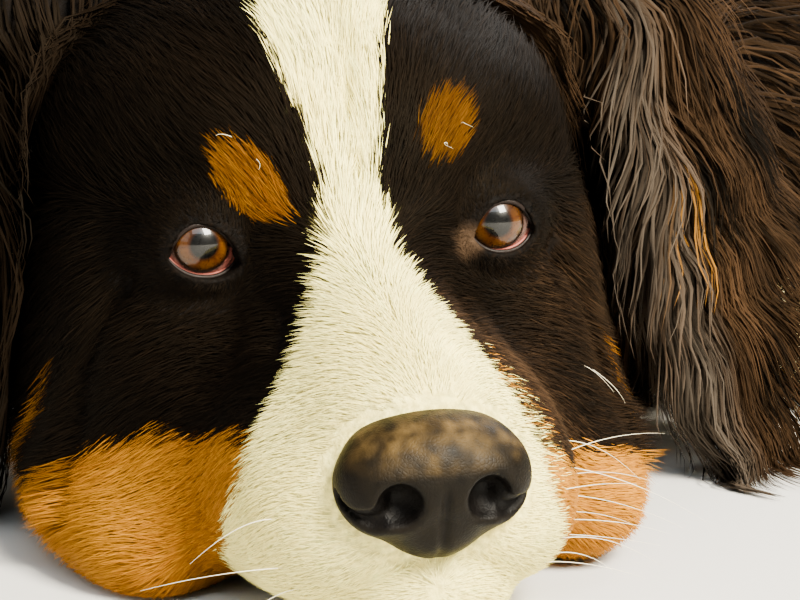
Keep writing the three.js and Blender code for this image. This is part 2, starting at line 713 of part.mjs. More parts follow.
const tailCurve = new THREE.CatmullRomCurve3(TAIL_LINE, false, "centripetal");
function tailSpine(start, end) {
  const stops = Array.from({ length: 7 }, (_, i) => tailCurve.getPointAt(lerp(start, end, i / 6)));
  return {
    from: stops[0],
    to: stops[6],
    way: (t) => tailCurve.getTangentAt(lerp(start, end, t)),
    curve: (first, last) => new THREE.CatmullRomCurve3(end < 1 ? stops : [...stops, last], false, "centripetal"),
  };
}
function tailLie(p) {
  let best = 0;
  for (let i = 0; i <= 30; i++) {
    if (tailCurve.getPointAt(i / 30).distanceTo(p) < tailCurve.getPointAt(best).distanceTo(p)) best = i / 30;
  }
  return tailCurve.getTangentAt(best);
}
const TAIL_CUTS = [0, 0.36, 0.68, 1];
["tail_base", "tail_middle", "tail_tip"].forEach((name, n) => {
  const [start, end] = [TAIL_CUTS[n] + (n ? 0.0006 : 0), TAIL_CUTS[n + 1]];
  const locks = [];
  for (let row = n ? 0 : 1; row < 2; row++) {
    const t = lerp(start, end, 0.18 + row * 0.45);
    const centre = tailCurve.getPointAt(t);
    const way = tailCurve.getTangentAt(t);
    const side = way.clone().cross(vec(0, 0, 1)).normalize();
    const over = side.clone().cross(way).normalize();
    for (let i = 0; i < 4; i++) {
      const angle = degToRad(-10 + i * 66 + row * 12);
      const out = side.clone().multiplyScalar(Math.cos(angle)).addScaledVector(over, Math.sin(angle));
      const spot = surfaceOn(tailOuter, centre, out, 90);
      locks.push(lock(tailOuter, TAIL_COAT * (1 - CORE_SHARE), tailLie, spot, { length: 96, width: 42, thick: 4.5 }));
    }
  }
  const surface = skinRound(tailCore, tailSpine(start, end), 5, 12, 90, { flatStart: true, flatEnd: end < 1 });
  add(name, n < 2 ? BLACK : WHITE, surface, { locks });
});

function meshOf(name, made, look) {
  const mesh = made.getMesh();
  const positions = new Float32Array(mesh.numVert * 3);
  for (let i = 0; i < mesh.numVert; i++) {
    positions.set(mesh.vertProperties.subarray(i * mesh.numProp, i * mesh.numProp + 3), i * 3);
  }
  const geometry = new THREE.BufferGeometry();
  geometry.setAttribute("position", new THREE.BufferAttribute(positions, 3));
  geometry.setIndex(new THREE.BufferAttribute(new Uint32Array(mesh.triVerts), 1));
  geometry.computeVertexNormals();
  const shown = new THREE.Mesh(geometry, new THREE.MeshStandardMaterial({ ...look, metalness: 0 }));
  shown.name = name;
  return shown;
}

const dog = new THREE.Group();
for (const [name, { body, look }] of parts) dog.add(meshOf(name, body, look));

const box = new THREE.Box3().setFromObject(dog);
dog.position.set(-(box.min.x + box.max.x) / 2, -(box.min.y + box.max.y) / 2, 0);

export default dog;
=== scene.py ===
import math

import bmesh
import bpy
import numpy as np
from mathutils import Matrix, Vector


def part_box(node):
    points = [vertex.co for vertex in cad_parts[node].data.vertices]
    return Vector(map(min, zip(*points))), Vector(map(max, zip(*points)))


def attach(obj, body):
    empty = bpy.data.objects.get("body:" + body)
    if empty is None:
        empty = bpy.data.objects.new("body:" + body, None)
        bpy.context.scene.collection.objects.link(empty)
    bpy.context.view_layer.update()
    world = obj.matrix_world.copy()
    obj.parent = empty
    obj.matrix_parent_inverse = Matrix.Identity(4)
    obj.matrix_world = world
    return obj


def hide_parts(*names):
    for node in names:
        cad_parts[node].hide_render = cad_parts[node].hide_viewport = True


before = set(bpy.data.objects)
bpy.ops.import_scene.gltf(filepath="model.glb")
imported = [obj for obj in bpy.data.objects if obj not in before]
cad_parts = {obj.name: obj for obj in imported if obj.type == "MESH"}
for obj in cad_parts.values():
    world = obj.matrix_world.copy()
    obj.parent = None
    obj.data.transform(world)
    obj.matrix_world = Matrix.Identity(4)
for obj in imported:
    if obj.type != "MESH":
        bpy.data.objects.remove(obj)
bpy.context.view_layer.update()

# A Bernese mountain dog, life size, lying with its chin on the floor. Lengths are in millimetres
# in the maker's own frame, with the floor at z = 0, the nose to -Y and the dog's left to +X. Meshes
# are made in metres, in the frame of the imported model.

SIDES = (1, -1)
SIDE_NAMES = {1: "left", -1: "right"}
EYE_LEFT_MIDDLE = (41.75, 9.73, 98.78)
EYE_HEIGHT = 97
EYE_X = 43
EYE_RADIUS = 11.5
IRIS = 8.1
HEAD_YAW = 14
HEAD_PITCH = 8
HEAD_ROLL = -2.4
BODY_X = 12
BODY_Y = 62
SKIN_FLOOR = 0.8
OUT_OF_REACH = 400.0
# Paws: place of the middle, turn outwards in degrees, and length
PAW_PLANS = (((203, 62), 10, 118), ((195, 600), 6, 112))
TOES = (-1.5, -0.5, 0.5, 1.5)
TAIL_LINE = [(0, 838, 205), (8, 905, 132), (40, 975, 68), (110, 1040, 45), (205, 1062, 38), (290, 1035, 30)]
TAIL_RADII = [36, 31, 28, 26, 22, 12]

# The camera is level across, CAMERA_TILT below the horizon; the eyes look past it to GAZE_AT
CAMERA_AT = np.array([15.56, -684.03, 191.07])
CAMERA_TILT = 9.5
FOCUS_PIXELS = 2420
IMAGE_WIDTH = 800
SENSOR_WIDTH = 36
GAZE_AT = CAMERA_AT + np.array([125, 0, -75])

# Colours of the coat, and of the bare parts
BLACK = (0.0014, 0.001, 0.0007)
BROWN = (0.05, 0.0265, 0.0125)
DARK_BROWN = (0.035, 0.022, 0.01)
WHITE = (0.98, 0.87, 0.3)
CREAM = (0.93, 0.76, 0.2)
TAN = (0.5, 0.2, 0.006)
RUST = (0.27, 0.08, 0.004)
SPARSE = (0.07, 0.042, 0.024)
# Painted sheen on the front edge of the left ear, as paler, greyer hair
EAR_SHEEN = (0.075, 0.06, 0.046)
GOLD = (0.26, 0.11, 0.012)
WHISKER = (0.8, 0.74, 0.55)
RIM_DARK = (0.008, 0.005, 0.004)
PINK = (0.3, 0.085, 0.065)
EYE_WHITE = (0.1, 0.06, 0.05)
AMBER_DARK = (0.035, 0.009, 0.001)
AMBER = (0.07, 0.026, 0.002)
# Dark rim of the iris, also used for the painted shadow of the upper lid over the iris
IRIS_RIM_AND_LID_SHADOW = (0.008, 0.003, 0.001)
PUPIL = (0.001, 0.001, 0.001)
NOSE_BLACK = (0.003, 0.0021, 0.001)
NOSE_BROWN = (0.095, 0.058, 0.018)
# Painted shade inside the nostrils
NOSTRIL_SHADE = (0.0012, 0.0008, 0.0006)
CLAW_PALE = (0.045, 0.034, 0.027)
CLAW_DARK = (0.012, 0.009, 0.008)


# Arithmetic on numbers and on rows of points


def ramp(x, low, high):
    """Smooth rise from 0 at low to 1 at high."""
    t = np.clip((x - low) / (high - low), 0, 1)
    return t * t * (3 - 2 * t)


def lerp(a, b, t):
    return np.asarray(a, float) + np.subtract(b, a) * t


def mixed(a, b, share):
    """Rows between two rows or colours, by a share for each row."""
    return lerp(a, b, share[:, None])


def span(v):
    """Length of each row."""
    return np.linalg.norm(v, axis=-1)


def unit(v):
    return v / np.maximum(np.linalg.norm(v, axis=-1, keepdims=True), 1e-9)


def rows(*columns):
    """Rows of coordinates from columns or single numbers."""
    return np.stack(np.broadcast_arrays(*columns), -1)


def waver(p, length, seed=0):
    """A smooth, slow wave between -1 and 1, for edges and tones that aren't quite regular."""
    x, y, z = (p / length + seed * 7.31).T
    return (
        np.sin(x + 1.7 * np.sin(y * 0.9 + seed))
        + np.sin(y * 1.13 + 1.3 * np.sin(z * 1.1))
        + np.sin(z * 0.93 + 1.5 * np.sin(x * 1.2 + 2 * seed))
    ) / 3


def about(axis, degrees):
    """Matrix of a turn about x, y or z, numbered from 0."""
    turn = np.eye(3)
    i, j = (axis + 1) % 3, (axis + 2) % 3
    turn[i, i] = turn[j, j] = math.cos(math.radians(degrees))
    turn[j, i] = math.sin(math.radians(degrees))
    turn[i, j] = -turn[j, i]
    return turn


HEAD_TURN = about(2, HEAD_YAW) @ about(0, HEAD_PITCH) @ about(1, HEAD_ROLL)
HEAD_AT = np.array([0, 0, EYE_HEIGHT])


def to_head(p):
    return (p - HEAD_AT) @ HEAD_TURN


def from_head(q):
    return np.asarray(q, float) @ HEAD_TURN.T + HEAD_AT


def on_body(x, y, z):
    return (BODY_X + x, BODY_Y + y, z)


# Fields: functions of rows of points that give the distance from a surface, negative inside


def ball(centre, radii, lean=0, heading=0):
    """An ellipsoid, leaning about y or turned about z by degrees."""
    turn = about(1, lean) @ about(2, heading)
    radii = np.broadcast_to(np.asarray(radii, float), 3)

    def field(p):
        q = (p - np.asarray(centre, float)) @ turn
        k0 = np.sqrt(((q / radii) ** 2).sum(-1))
        k1 = np.sqrt(((q / radii**2) ** 2).sum(-1))
        return k0 * (k0 - 1) / np.maximum(k1, 1e-9)

    return field


def limb(a, b, radius_a, radius_b):
    """A rod with round ends whose radius changes evenly."""
    a = np.asarray(a, float)
    along = np.asarray(b, float) - a

    def field(p):
        q = p - a
        t = np.clip(q @ along / (along @ along), 0, 1)
        return span(q - t[..., None] * along) - lerp(radius_a, radius_b, t)

    return field


def soften(a, b, width):
    h = np.maximum(width - np.abs(a - b), 0) / width
    return np.minimum(a, b) - h * h * width / 4


def carve(a, b, width):
    """What is in a and not in b, with a rounded edge."""
    return -soften(-a, b, width)


def merged(d, fields, p, width):
    """A distance softened into those of more fields."""
    for one in fields:
        d = soften(d, one(p), width)
    return d


def blend(width, *fields):
    return lambda p: merged(fields[0](p), fields[1:], p, width)


def chain(points, radii, width=1):
    """Limbs from point to point."""
    radii = np.broadcast_to(radii, len(points))
    return blend(width, *(limb(*ends) for ends in zip(points, points[1:], radii, radii[1:])))


def near(field, low, high, margin):
    """The field inside a box, and out of reach beyond it, which saves time."""
    low, high = np.subtract(low, margin), np.add(high, margin)

    def bounded(p):
        inside = ((p > low) & (p < high)).all(-1)
        d = np.full(p.shape[:-1], OUT_OF_REACH)
        if inside.any():
            d[inside] = field(p[inside])
        return d

    return bounded


def both(make):
    return [make(s) for s in SIDES]


def pairs(*plans):
    """Mirrored balls, each from its place on the dog's left and its radii."""
    return [ball((s * x, y, z), radii) for (x, y, z), radii in plans for s in SIDES]


# Head, in its own frame: the origin is between the eyes, y runs back and z up

skull = blend(
    22,
    ball((0, 68, 12), (64, 82, 52)),
    *pairs(
        ((25, 20, 20), (24, 25, 18)),  # brows
        ((44, 54, 8), (27, 44, 30)),  # temples
        ((50, 60, -34), (31, 50, 40)),  # cheeks
        ((54, 42, -66), (32, 50, 34)),  # jowls
        ((44, 30, -24), (26, 36, 22)),  # cheekbones
    ),
)
snout = blend(
    14,
    limb((0, -76, -32), (0, 8, -17), 17, 24),
    ball((0, -44, -38), (36, 60, 27)),
    *pairs(
        ((17, -77, -55), (22, 23, 20)),  # front of the lips
        ((28, -44, -57), (22, 44, 27)),  # sides of the lips
        ((41, 0, -60), (23, 42, 27)),  # corners of the mouth
    ),
)
jaw = blend(
    16,
    *both(lambda s: limb((s * 10, -80, -71), (s * 32, 40, -76), 15, 18)),
    ball((0, -84, -71), (17, 16, 14)),
    ball((0, 50, -62), (48, 62, 34)),
)
lid_pads = pairs(((EYE_X, 4, 0), (17, 14, 13)))
lid_domes = pairs(((EYE_X, -0.2, 0), 13.5))
lip_splay = pairs(((62, 0, -80), (23, 46, 17)))

# Where the lids open: middle and half width across, height of the two corners, and of both lids
LIDS = {
    1: {"middle": 44.2, "half": 9.4, "inner": -1.8, "outer": -2.4, "top": 7.7, "bottom": -7.2},
    -1: {"middle": 42.4, "half": 9.9, "inner": -4.6, "outer": -2.0, "top": 7.3, "bottom": -8.0},
}


def lid_height(s, x, upper):
    """Height of the edge of a lid over x, in the head's frame."""
    lid = LIDS[s]
    u = np.clip((s * x - lid["middle"]) / lid["half"], -1, 1)
    corner = lerp(lid["inner"], lid["outer"], (u + 1) / 2)
    middle = (lid["inner"] + lid["outer"]) / 2
    if upper:
        return corner + (lid["top"] - middle) * (1 - np.abs(u) ** 2.2) ** 0.72
    return corner + (lid["bottom"] - middle) * (1 - np.abs(u) ** 2.4) ** 0.8


def opening(s):
    """The gap between the lids, right through to the eye."""

    def field(q):
        x, y, z = np.moveaxis(q, -1, 0)
        across = np.abs(s * x - LIDS[s]["middle"]) - LIDS[s]["half"]
        over = (z - lid_height(s, x, True)) * 0.8
        under = (lid_height(s, x, False) - z) * 0.85
        return np.max([over, under, across, y + 3], 0)

    return near(field, (s * EYE_X - 14, -40, -14), (s * EYE_X + 14, 0, 14), 8)


def creases(s):
    """Grooves round one eye and down the cheek, each with the width of its rounded edge."""
    above = [(s * (28 + 4.6 * i), -15.5 + 0.9 * i, 5.5 + 7.2 * math.sin(0.35 + 0.5 * i)) for i in range(6)]
    below = [(s * (30 + 5 * i), -19.5 + 1.2 * i, -10.5 - 3.4 * math.sin(0.55 * i)) for i in range(6)]
    trough = [(s * 29, -21, -7), (s * 24, -31, -14), (s * 25, -42, -21)]
    fold = [(s * 62, 4, -12), (s * 72, 4, -34), (s * 78, -4, -56), (s * 80, -14, -72)]
    lines = [(above, 0.7, 4), (below, 0.5, 4), (trough, 0.9, 7), (fold, 0.6, 9)]
    return [(near(chain(line, r), np.min(line, 0), np.max(line, 0), 14), width) for line, r, width in lines]


openings = both(opening)
grooves = [one for s in SIDES for one in creases(s)]
furrow = chain([(0, -12, 16), (0, 2, 44), (0, 30, 62)], 0.8)


def face(q):
    return merged(soften(skull(q), snout(q), 32), lid_pads, q, 8)


def eye_away(q):
    """Distance from the nearer eye."""
    return np.min([span(q - [s * EYE_X, -8, 0]) for s in SIDES], 0)


def head_skin(q):
    """The head without ears: face, lids with their opening, lips and jaw, with the mouth as a crease."""
    full = 5.5 * ramp(q[..., 1], -25, 65) * ramp(eye_away(q), 14, 36)
    d = face(q) - full
    for side in lip_splay:
        d = soften(d, side(q) - 0.5 * full, 20)
    d = merged(d, lid_domes, q, 5)
    for groove, width in [*grooves, (furrow, 9)]:
        d = carve(d, groove(q), width)
    d = soften(d, jaw(q), 3)
    for gap in openings:
        d = carve(d, gap(q), 1.2)
    return d


# Each ear has its own frame: out of its face, backwards across it, and up. The floor pushes the left
# one out from the head, and the right one hangs close.
EARS = {
    1: {"root": (102, 88, 40), "middle": (132, 75, -19), "lean": -9, "heading": -42, "across": 32},
    -1: {"root": (84, 86, 46), "middle": (-103.5, 74, -18), "lean": 0, "heading": 0, "across": 39},
}


def ear_turn(s):
    return about(1, s * EARS[s]["lean"]) @ about(2, s * EARS[s]["heading"])


def in_ear(s, out, across, up):
    """A place in an ear's own frame, in the head's."""
    return ear_turn(s) @ np.array([s * out, across, up]) + np.array(EARS[s]["middle"])


def ear(s):
    def part(place, radii):
        return ball(in_ear(s, *place), radii, s * EARS[s]["lean"], s * EARS[s]["heading"])

    x, y, z = EARS[s]["root"]
    across = EARS[s]["across"]
    leather = blend(
        18,
        limb((s * 58, 92, 40), (s * x, y, z), 20, 15),
        part((-3.5, 4, 24), (8, across + 1, 47)),
        part((3.5, -4, -25), (6.5, across - 5, 44)),
    )
    cup = part((-13.5, 0, 0), (9, across - 12, 44))
    ends = sorted((s * 50, s * 175))
    return near(lambda q: carve(leather(q), cup(q), 6), (ends[0], 20, -95), (ends[1], 140, 80), 30)


ears = both(ear)

# Body

neck = blend(
    40,
    limb((-30, 132, 98), on_body(0, 275, 196), 58, 104),
    ball(on_body(0, 180, 80), (90, 84, 76)),
    *both(lambda s: ball(on_body(s * 84, 158, 84), (62, 60, 68))),
)
trunk = blend(
    44,
    ball(on_body(0, 345, 172), (125, 185, 165)),
    ball(on_body(0, 330, 255), (70, 130, 85)),
    ball(on_body(0, 215, 95), (84, 60, 85)),
    ball(on_body(0, 520, 146), (132, 210, 152)),
    limb(on_body(0, 420, 210), on_body(0, 760, 200), 82, 80),
    ball(on_body(0, 750, 172), (112, 118, 112)),
    *both(lambda s: ball(on_body(s * 88, 268, 188), (48, 80, 116), lean=s * -14)),
    *both(lambda s: limb(on_body(s * 100, 218, 140), on_body(s * 142, 335, 62), 56, 46)),
    *both(lambda s: ball(on_body(s * 120, 668, 128), (66, 128, 112))),
    *both(lambda s: ball(on_body(s * 158, 582, 88), (44, 52, 62))),
)
tail = chain([on_body(*p) for p in TAIL_LINE], TAIL_RADII, 20)


def forearm(s):
    return blend(
        20,
        ball(on_body(s * 150, 348, 46), (36, 40, 48)),
        limb(on_body(s * 152, 330, 42), on_body(s * 190, 128, 30), 40, 26),
    )


def hock(s):
    return blend(
        14,
        limb(on_body(s * 172, 610, 60), on_body(s * 182, 785, 40), 38, 26),
        ball(on_body(s * 182, 797, 34), (22, 26, 32)),
        limb(on_body(s * 184, 785, 24), on_body(s * 192, 650, 24), 21, 23),
    )


def paw_place(s, plan):
    """Function from sideways, ahead and up on a paw to the maker's frame."""
    (x, y), heading, _ = plan
    turn, middle = about(2, s * heading), on_body(s * x, y, 0)
    return lambda side, ahead, up: turn @ (side, -ahead, up) + middle


def toe_reach(plan, n):
    return plan[2] * (0.5 - abs(n) * 0.06)


def paw_field(s, plan):
    place = paw_place(s, plan)
    _, heading, length = plan
    toes = []
    for n in TOES:
        reach = toe_reach(plan, n)
        toe = limb(place(n * 16, length * 0.12, 24), place(n * 17.5, reach - 9, 20), 12.5, 12)
        toes.append(blend(8, toe, ball(place(n * 17.7, reach - 1, 14), (11, 13, 12.5))))
    pad = ball(place(0, -length * 0.16, 22), (31, length * 0.36, 25), heading=s * heading)
    return blend(7, pad, blend(3.5, *toes))


paws = [paw_field(s, plan) for s in SIDES for plan in PAW_PLANS]
forearms = both(forearm)
hocks = both(hock)


def head_part(p):
    q = to_head(p)
    return merged(head_skin(q), ears, q, 6)


def limbs_part(p):
    d = np.full(p.shape[:-1], OUT_OF_REACH)
    for fields, width in ((forearms, 26), (hocks, 30), (paws, 16)):
        d = merged(d, fields, p, width)
    return d


# The parts of the skin after the head, each with how softly it meets those before it
head_near = near(head_part, (-150, -120, 0), (160, 160, 200), 60)
SKIN_PARTS = (
    (near(neck, on_body(-150, 60, 0), on_body(150, 400, 330), 60), 30),
    (near(trunk, on_body(-210, 120, 0), on_body(210, 900, 380), 60), 44),
    (near(limbs_part, on_body(-245, -10, 0), on_body(245, 840, 110), 50), 30),
    (near(tail, on_body(-60, 780, 0), on_body(320, 1110, 260), 50), 20),
)


def skin_field(p):
    d = head_near(p)
    for part, width in SKIN_PARTS:
        d = soften(d, part(p), width)
    return np.maximum(d, SKIN_FLOOR - p[..., 2])


# Surfaces from fields


def slopes(field, p, e=0.4):
    """Unit way out of a field at each point."""
    return unit(np.stack([field(p + e * axis) - field(p - e * axis) for axis in np.eye(3)], -1))


def graded(*stops):
    """Places along an axis: (where, step) pairs, the step holding until the next."""
    places = [stops[0][0]]
    for (start, step), (end, _) in zip(stops, stops[1:]):
        count = max(1, round((end - start) / step))
        places += [start + (end - start) * (i + 1) / count for i in range(count)]
    return np.array(places)


def sampled(field, grid, coarse=4, slab=24):
    """Values of a field on a grid, exact near its surface and roughly right elsewhere."""
    xs, ys, zs = grid
    picks = [np.unique(np.append(np.arange(0, len(a), coarse), len(a) - 1)) for a in grid]
    rough = field(np.stack(np.meshgrid(*(a[pick] for a, pick in zip(grid, picks)), indexing="ij"), -1))
    for axis, (places, pick) in enumerate(zip(grid, picks)):
        at = np.interp(places, places[pick], np.arange(len(pick)))
        low = np.minimum(at.astype(int), len(pick) - 2)
        share = (at - low).reshape([-1 if k == axis else 1 for k in range(3)])
        rough = np.take(rough, low, axis) * (1 - share) + np.take(rough, low + 1, axis) * share
    values = rough.astype(np.float32)
    wide, long, high = (np.gradient(a) * coarse for a in grid)
    for i in range(0, len(ys), slab):
        part = values[:, i : i + slab]
        reach = np.sqrt(wide[:, None, None] ** 2 + long[i : i + slab, None] ** 2 + high**2)
        close = np.abs(part) < reach * 0.75
        a, b, c = np.nonzero(close)
        part[close] = field(np.stack([xs[a], ys[i + b], zs[c]], -1))
    return unpinched(values)


def unpinched(values, fill=-0.02):
    """Fills one corner of each grid face whose corners alternate, as two sheets would meet there."""
    for axis in [0, 1, 2] * 3:
        a = np.moveaxis(values, axis, 0)
        inside = a < 0
        p, q, r, s = inside[:, :-1, :-1], inside[:, 1:, :-1], inside[:, 1:, 1:], inside[:, :-1, 1:]
        for odd, ahead in ((p & r & ~q & ~s, 1), (q & s & ~p & ~r, 0)):
            i, j, k = np.nonzero(odd)
            a[i, j + ahead, k] = fill
    return values


def surface_net(values, grid):
    """Closed surface in a grid of values: a corner in each cell that it crosses, a face over each edge."""
    shape = tuple(n - 1 for n in values.shape)
    total = np.zeros(shape + (3,), np.float32)
    count = np.zeros(shape, np.int8)
    cells = np.arange(count.size).reshape(shape)
    faces = []
    for axis in range(3):
        u, v = [k for k in range(3) if k != axis]
        a = np.moveaxis(values, axis, 0)
        i, j, k = np.nonzero((a[:-1] < 0) != (a[1:] < 0))
        share = a[i, j, k] / (a[i, j, k] - a[i + 1, j, k])
        place = np.empty((len(i), 3), np.float32)
        place[:, axis] = lerp(grid[axis][i], grid[axis][i + 1], share)
        place[:, u] = grid[u][j]
        place[:, v] = grid[v][k]
        for du, dv in np.ndindex(2, 2):
            cu, cv = j - du, k - dv
            keep = (cu >= 0) & (cv >= 0) & (cu < shape[u]) & (cv < shape[v])
            cell = [None, None, None]
            cell[axis], cell[u], cell[v] = i[keep], cu[keep], cv[keep]
            np.add.at(total, tuple(cell), place[keep])
            np.add.at(count, tuple(cell), 1)
        within = (j > 0) & (k > 0) & (j < shape[u]) & (k < shape[v])
        i, j, k = i[within], j[within], k[within]
        cell = np.moveaxis(cells, (axis, u, v), (0, 1, 2))
        quad = np.stack([cell[i, j - 1, k - 1], cell[i, j, k - 1], cell[i, j, k], cell[i, j - 1, k]], 1)
        flip = (a[i, j, k] < 0) != (axis == 1)
        faces.append(np.where(flip[:, None], quad, quad[:, ::-1]))
    used = count.ravel() > 0
    corners = total.reshape(-1, 3)[used].astype(float) / count.ravel()[used][:, None]
    return corners, (np.cumsum(used) - 1)[np.concatenate(faces)]


def settle(field, corners, rounds=2, reach=1.5):
    """Moves corners onto the field's surface."""
    for _ in range(rounds):
        corners = corners - slopes(field, corners) * np.clip(field(corners), -reach, reach)[:, None]
    return corners


SKIN_GRID = (
    graded((-270, 8), (-232, 4), (-150, 8), (-102, 2.4), (102, 8), (174, 4), (256, 8), (352, 8)),
    graded((-112, 2.4), (104, 4), (188, 8), (600, 4), (724, 8), (1220, 8)),
    graded((-4.8, 2.4), (168, 6), (400, 6)),
)
skin_values = sampled(skin_field, SKIN_GRID)
skin_corners, skin_faces = surface_net(skin_values, SKIN_GRID)
skin_corners = settle(skin_field, skin_corners)
a, b, c, d = (skin_corners[skin_faces[:, k]] for k in range(4))
skin_normals = np.zeros_like(skin_corners)
for k in range(4):
    np.add.at(skin_normals, skin_faces[:, k], np.cross(c - a, d - b))
skin_normals = unit(skin_normals)


def height(p):
    """Distance above the skin, looked up on its grid."""
    low, share = [], []
    for k, places in enumerate(SKIN_GRID):
        at = np.interp(p[:, k], places, np.arange(len(places)))
        low.append(np.minimum(at.astype(int), len(places) - 2))
        share.append(at - low[k])
    total = 0
    for z, y, x in np.ndindex(2, 2, 2):
        weight = math.prod(f if bit else 1 - f for f, bit in zip(share, (x, y, z)))
        total = total + weight * skin_values[low[0] + x, low[1] + y, low[2] + z]
    return total


# Markings: how white and how tan the coat is, black where it is neither. Tables have the left under 1.

# Half the blaze's width, by how far up the face it is
BLAZE_UP = [-12, -5, 0, 11, 21, 28, 37, 48, 57, 75]
BLAZE = {
    1: (BLAZE_UP, [22, 18, 14, 9, 6.2, 6, 7.9, 12.4, 20, 20]),
    -1: (BLAZE_UP, [27, 23, 19, 13.4, 10.8, 11, 13.4, 18.6, 20.5, 20]),
}
# Edge of the white below the eyes: by height, how far across and how far ahead it runs
WHITE_EDGE = {
    1: (
        [-75, -56, -47, -40, -33, -24, -16, -10, -3, 4, 13],
        [38, 39, 36, 35, 34, 29, 24, 20, 16, 9.5, 6.5],
        [-84, -92, -93, -90, -84, -77, -67, -50, -34, -29, -23],
    ),
    -1: (
        [-75, -69, -56, -47, -39, -32, -26, -18, -13, -8, 0, 8],
        [48, 49, 50, 48, 45, 41, 35, 29, 25, 21, 16, 12.5],
        [-52, -59, -68, -71, -70, -67, -64, -55, -45, -37, -28, -24],
    ),
}
# Top of the tan on each cheek by how far back it is, and the tan streak behind it by height
CHEEK_TOP = {
    1: ([-90, -84, -78, -60, -42, -20, -7, 10], [-36, -41, -47, -54, -59, -68, -76, -85]),
    -1: (
        [-90, -69, -59, -43, -34, -26, -19, -11, -5, 4, 17],
        [-36, -38, -38, -42, -45, -47, -49, -56, -60, -66, -77],
    ),
}
STREAK = {1: ([-90, -65, -50, -36], [19, 13, 13, 11]), -1: ([-86, -74, -58, -45], [45, 34, 23, 21])}
# Spots over the eyes: place across and up, lean in degrees, half length and half width
BROW_SPOTS = ((27.5, 31, 68, 9.2, 8.4), (-29.6, 19.4, 130, 12.6, 8.4))


def by_side(x, tables, at, column=1):
    """The left table's value where x is positive, and the right one's elsewhere."""
    left, right = (np.interp(at, tables[s][0], tables[s][column]) for s in SIDES)
    return np.where(x > 0, left, right)


def head_marks(q):
    x, y, z = q.T
    off = np.abs(x)
    edge = waver(q, 5, 1) * 1.2 + waver(q, 2, 4) * 0.6
    half = by_side(x, BLAZE, z - 0.2 * y) * (1 - 0.85 * ramp(y, 35, 100))
    below = lerp(by_side(x, WHITE_EDGE, z) - off, by_side(x, WHITE_EDGE, z, 2) - y, 0.5)
    inside = lerp(below, half - off, ramp(z, -2, 9))
    chin = np.minimum(38 - off, -76 - z)
    white = ramp(np.maximum(inside, chin) + edge, -2.4, 2.4)
    cheek = ramp(by_side(x, CHEEK_TOP, y) - z + 2 * edge, -4, 4) * ramp(-y, -46, -36)
    streak = ramp(2.8 - np.abs(y - by_side(x, STREAK, z)) + 0.6 * edge, -2, 2)
    streak = streak * ramp(z, -92, -80) * ramp(-z, 36, 48) * (off > 60)
    speckled = ramp(inside, -13, -3) * (x > 0) * ramp(-z, 14, 26) * ramp(z, -52, -40)
    white = np.maximum(white, 0.14 * speckled)
    tan = np.max([cheek, 0.7 * streak, 0.2 * speckled], 0)
    for across, up, lean, long, wide in BROW_SPOTS:
        c, s = math.cos(math.radians(lean)), math.sin(math.radians(lean))
        a = (x - across) * c + (z - up) * s
        b = -(x - across) * s + (z - up) * c
        spot = 1 - np.hypot(a / long, b / wide)
        tan = np.maximum(tan, ramp(spot + 0.07 * edge, -0.1, 0.16) * (y < 20))
    return white, tan * (1 - white)


def body_marks(p):
    x, y, z = p[:, 0] - BODY_X, p[:, 1] - BODY_Y, p[:, 2]
    edge = waver(p, 14, 3) * 9
    white = ramp(50 - np.abs(x) + edge, -5, 5) * ramp(58 - z + edge, -6, 6) * ramp(-y, -330, -300)
    tan = np.zeros(len(p))
    sock, boot = ramp(176 - y + edge, -5, 5), ramp(668 - y + edge, -5, 5)
    cuff = ramp(345 - y + edge, -8, 8) * ramp(84 - z + edge, -8, 8)
    for arm, shin in zip(forearms, hocks):
        on_arm = ramp(-arm(p), -24, -16) * (y < 420)
        on_shin = ramp(-shin(p), -22, -14) * ramp(66 - z + edge, -6, 6)
        white = np.max([white, on_arm * sock, on_shin * boot], 0)
        tan = np.max([tan, on_arm * cuff, on_shin], 0)
    for paw in paws:
        white = np.maximum(white, ramp(-paw(p), -16, -9))
    tip = ramp(x - 205 + edge, -8, 8) * ramp(-tail(p), -60, -40)
    white = np.maximum(white, tip)
    under_tail = ramp(y, 800, 830) * ramp(34 - np.abs(x), -6, 6) * ramp(150 - z, -10, 10)
    tan = np.maximum(tan, under_tail * ramp(885 - y, -10, 10))
    return white, tan * (1 - white)


def marks(p):
    white, tan = body_marks(p)
    q = to_head(p)
    side = 92 + 0.1 * np.maximum(-q[:, 2], 0)
    here = (q[:, 1] < 112) & (np.abs(q[:, 0]) < side) & (q[:, 2] > -105)
    white[here], tan[here] = head_marks(q[here])
    off_ears = np.min([one(q) for one in ears], 0) >= 7
    return white * off_ears, tan * off_ears


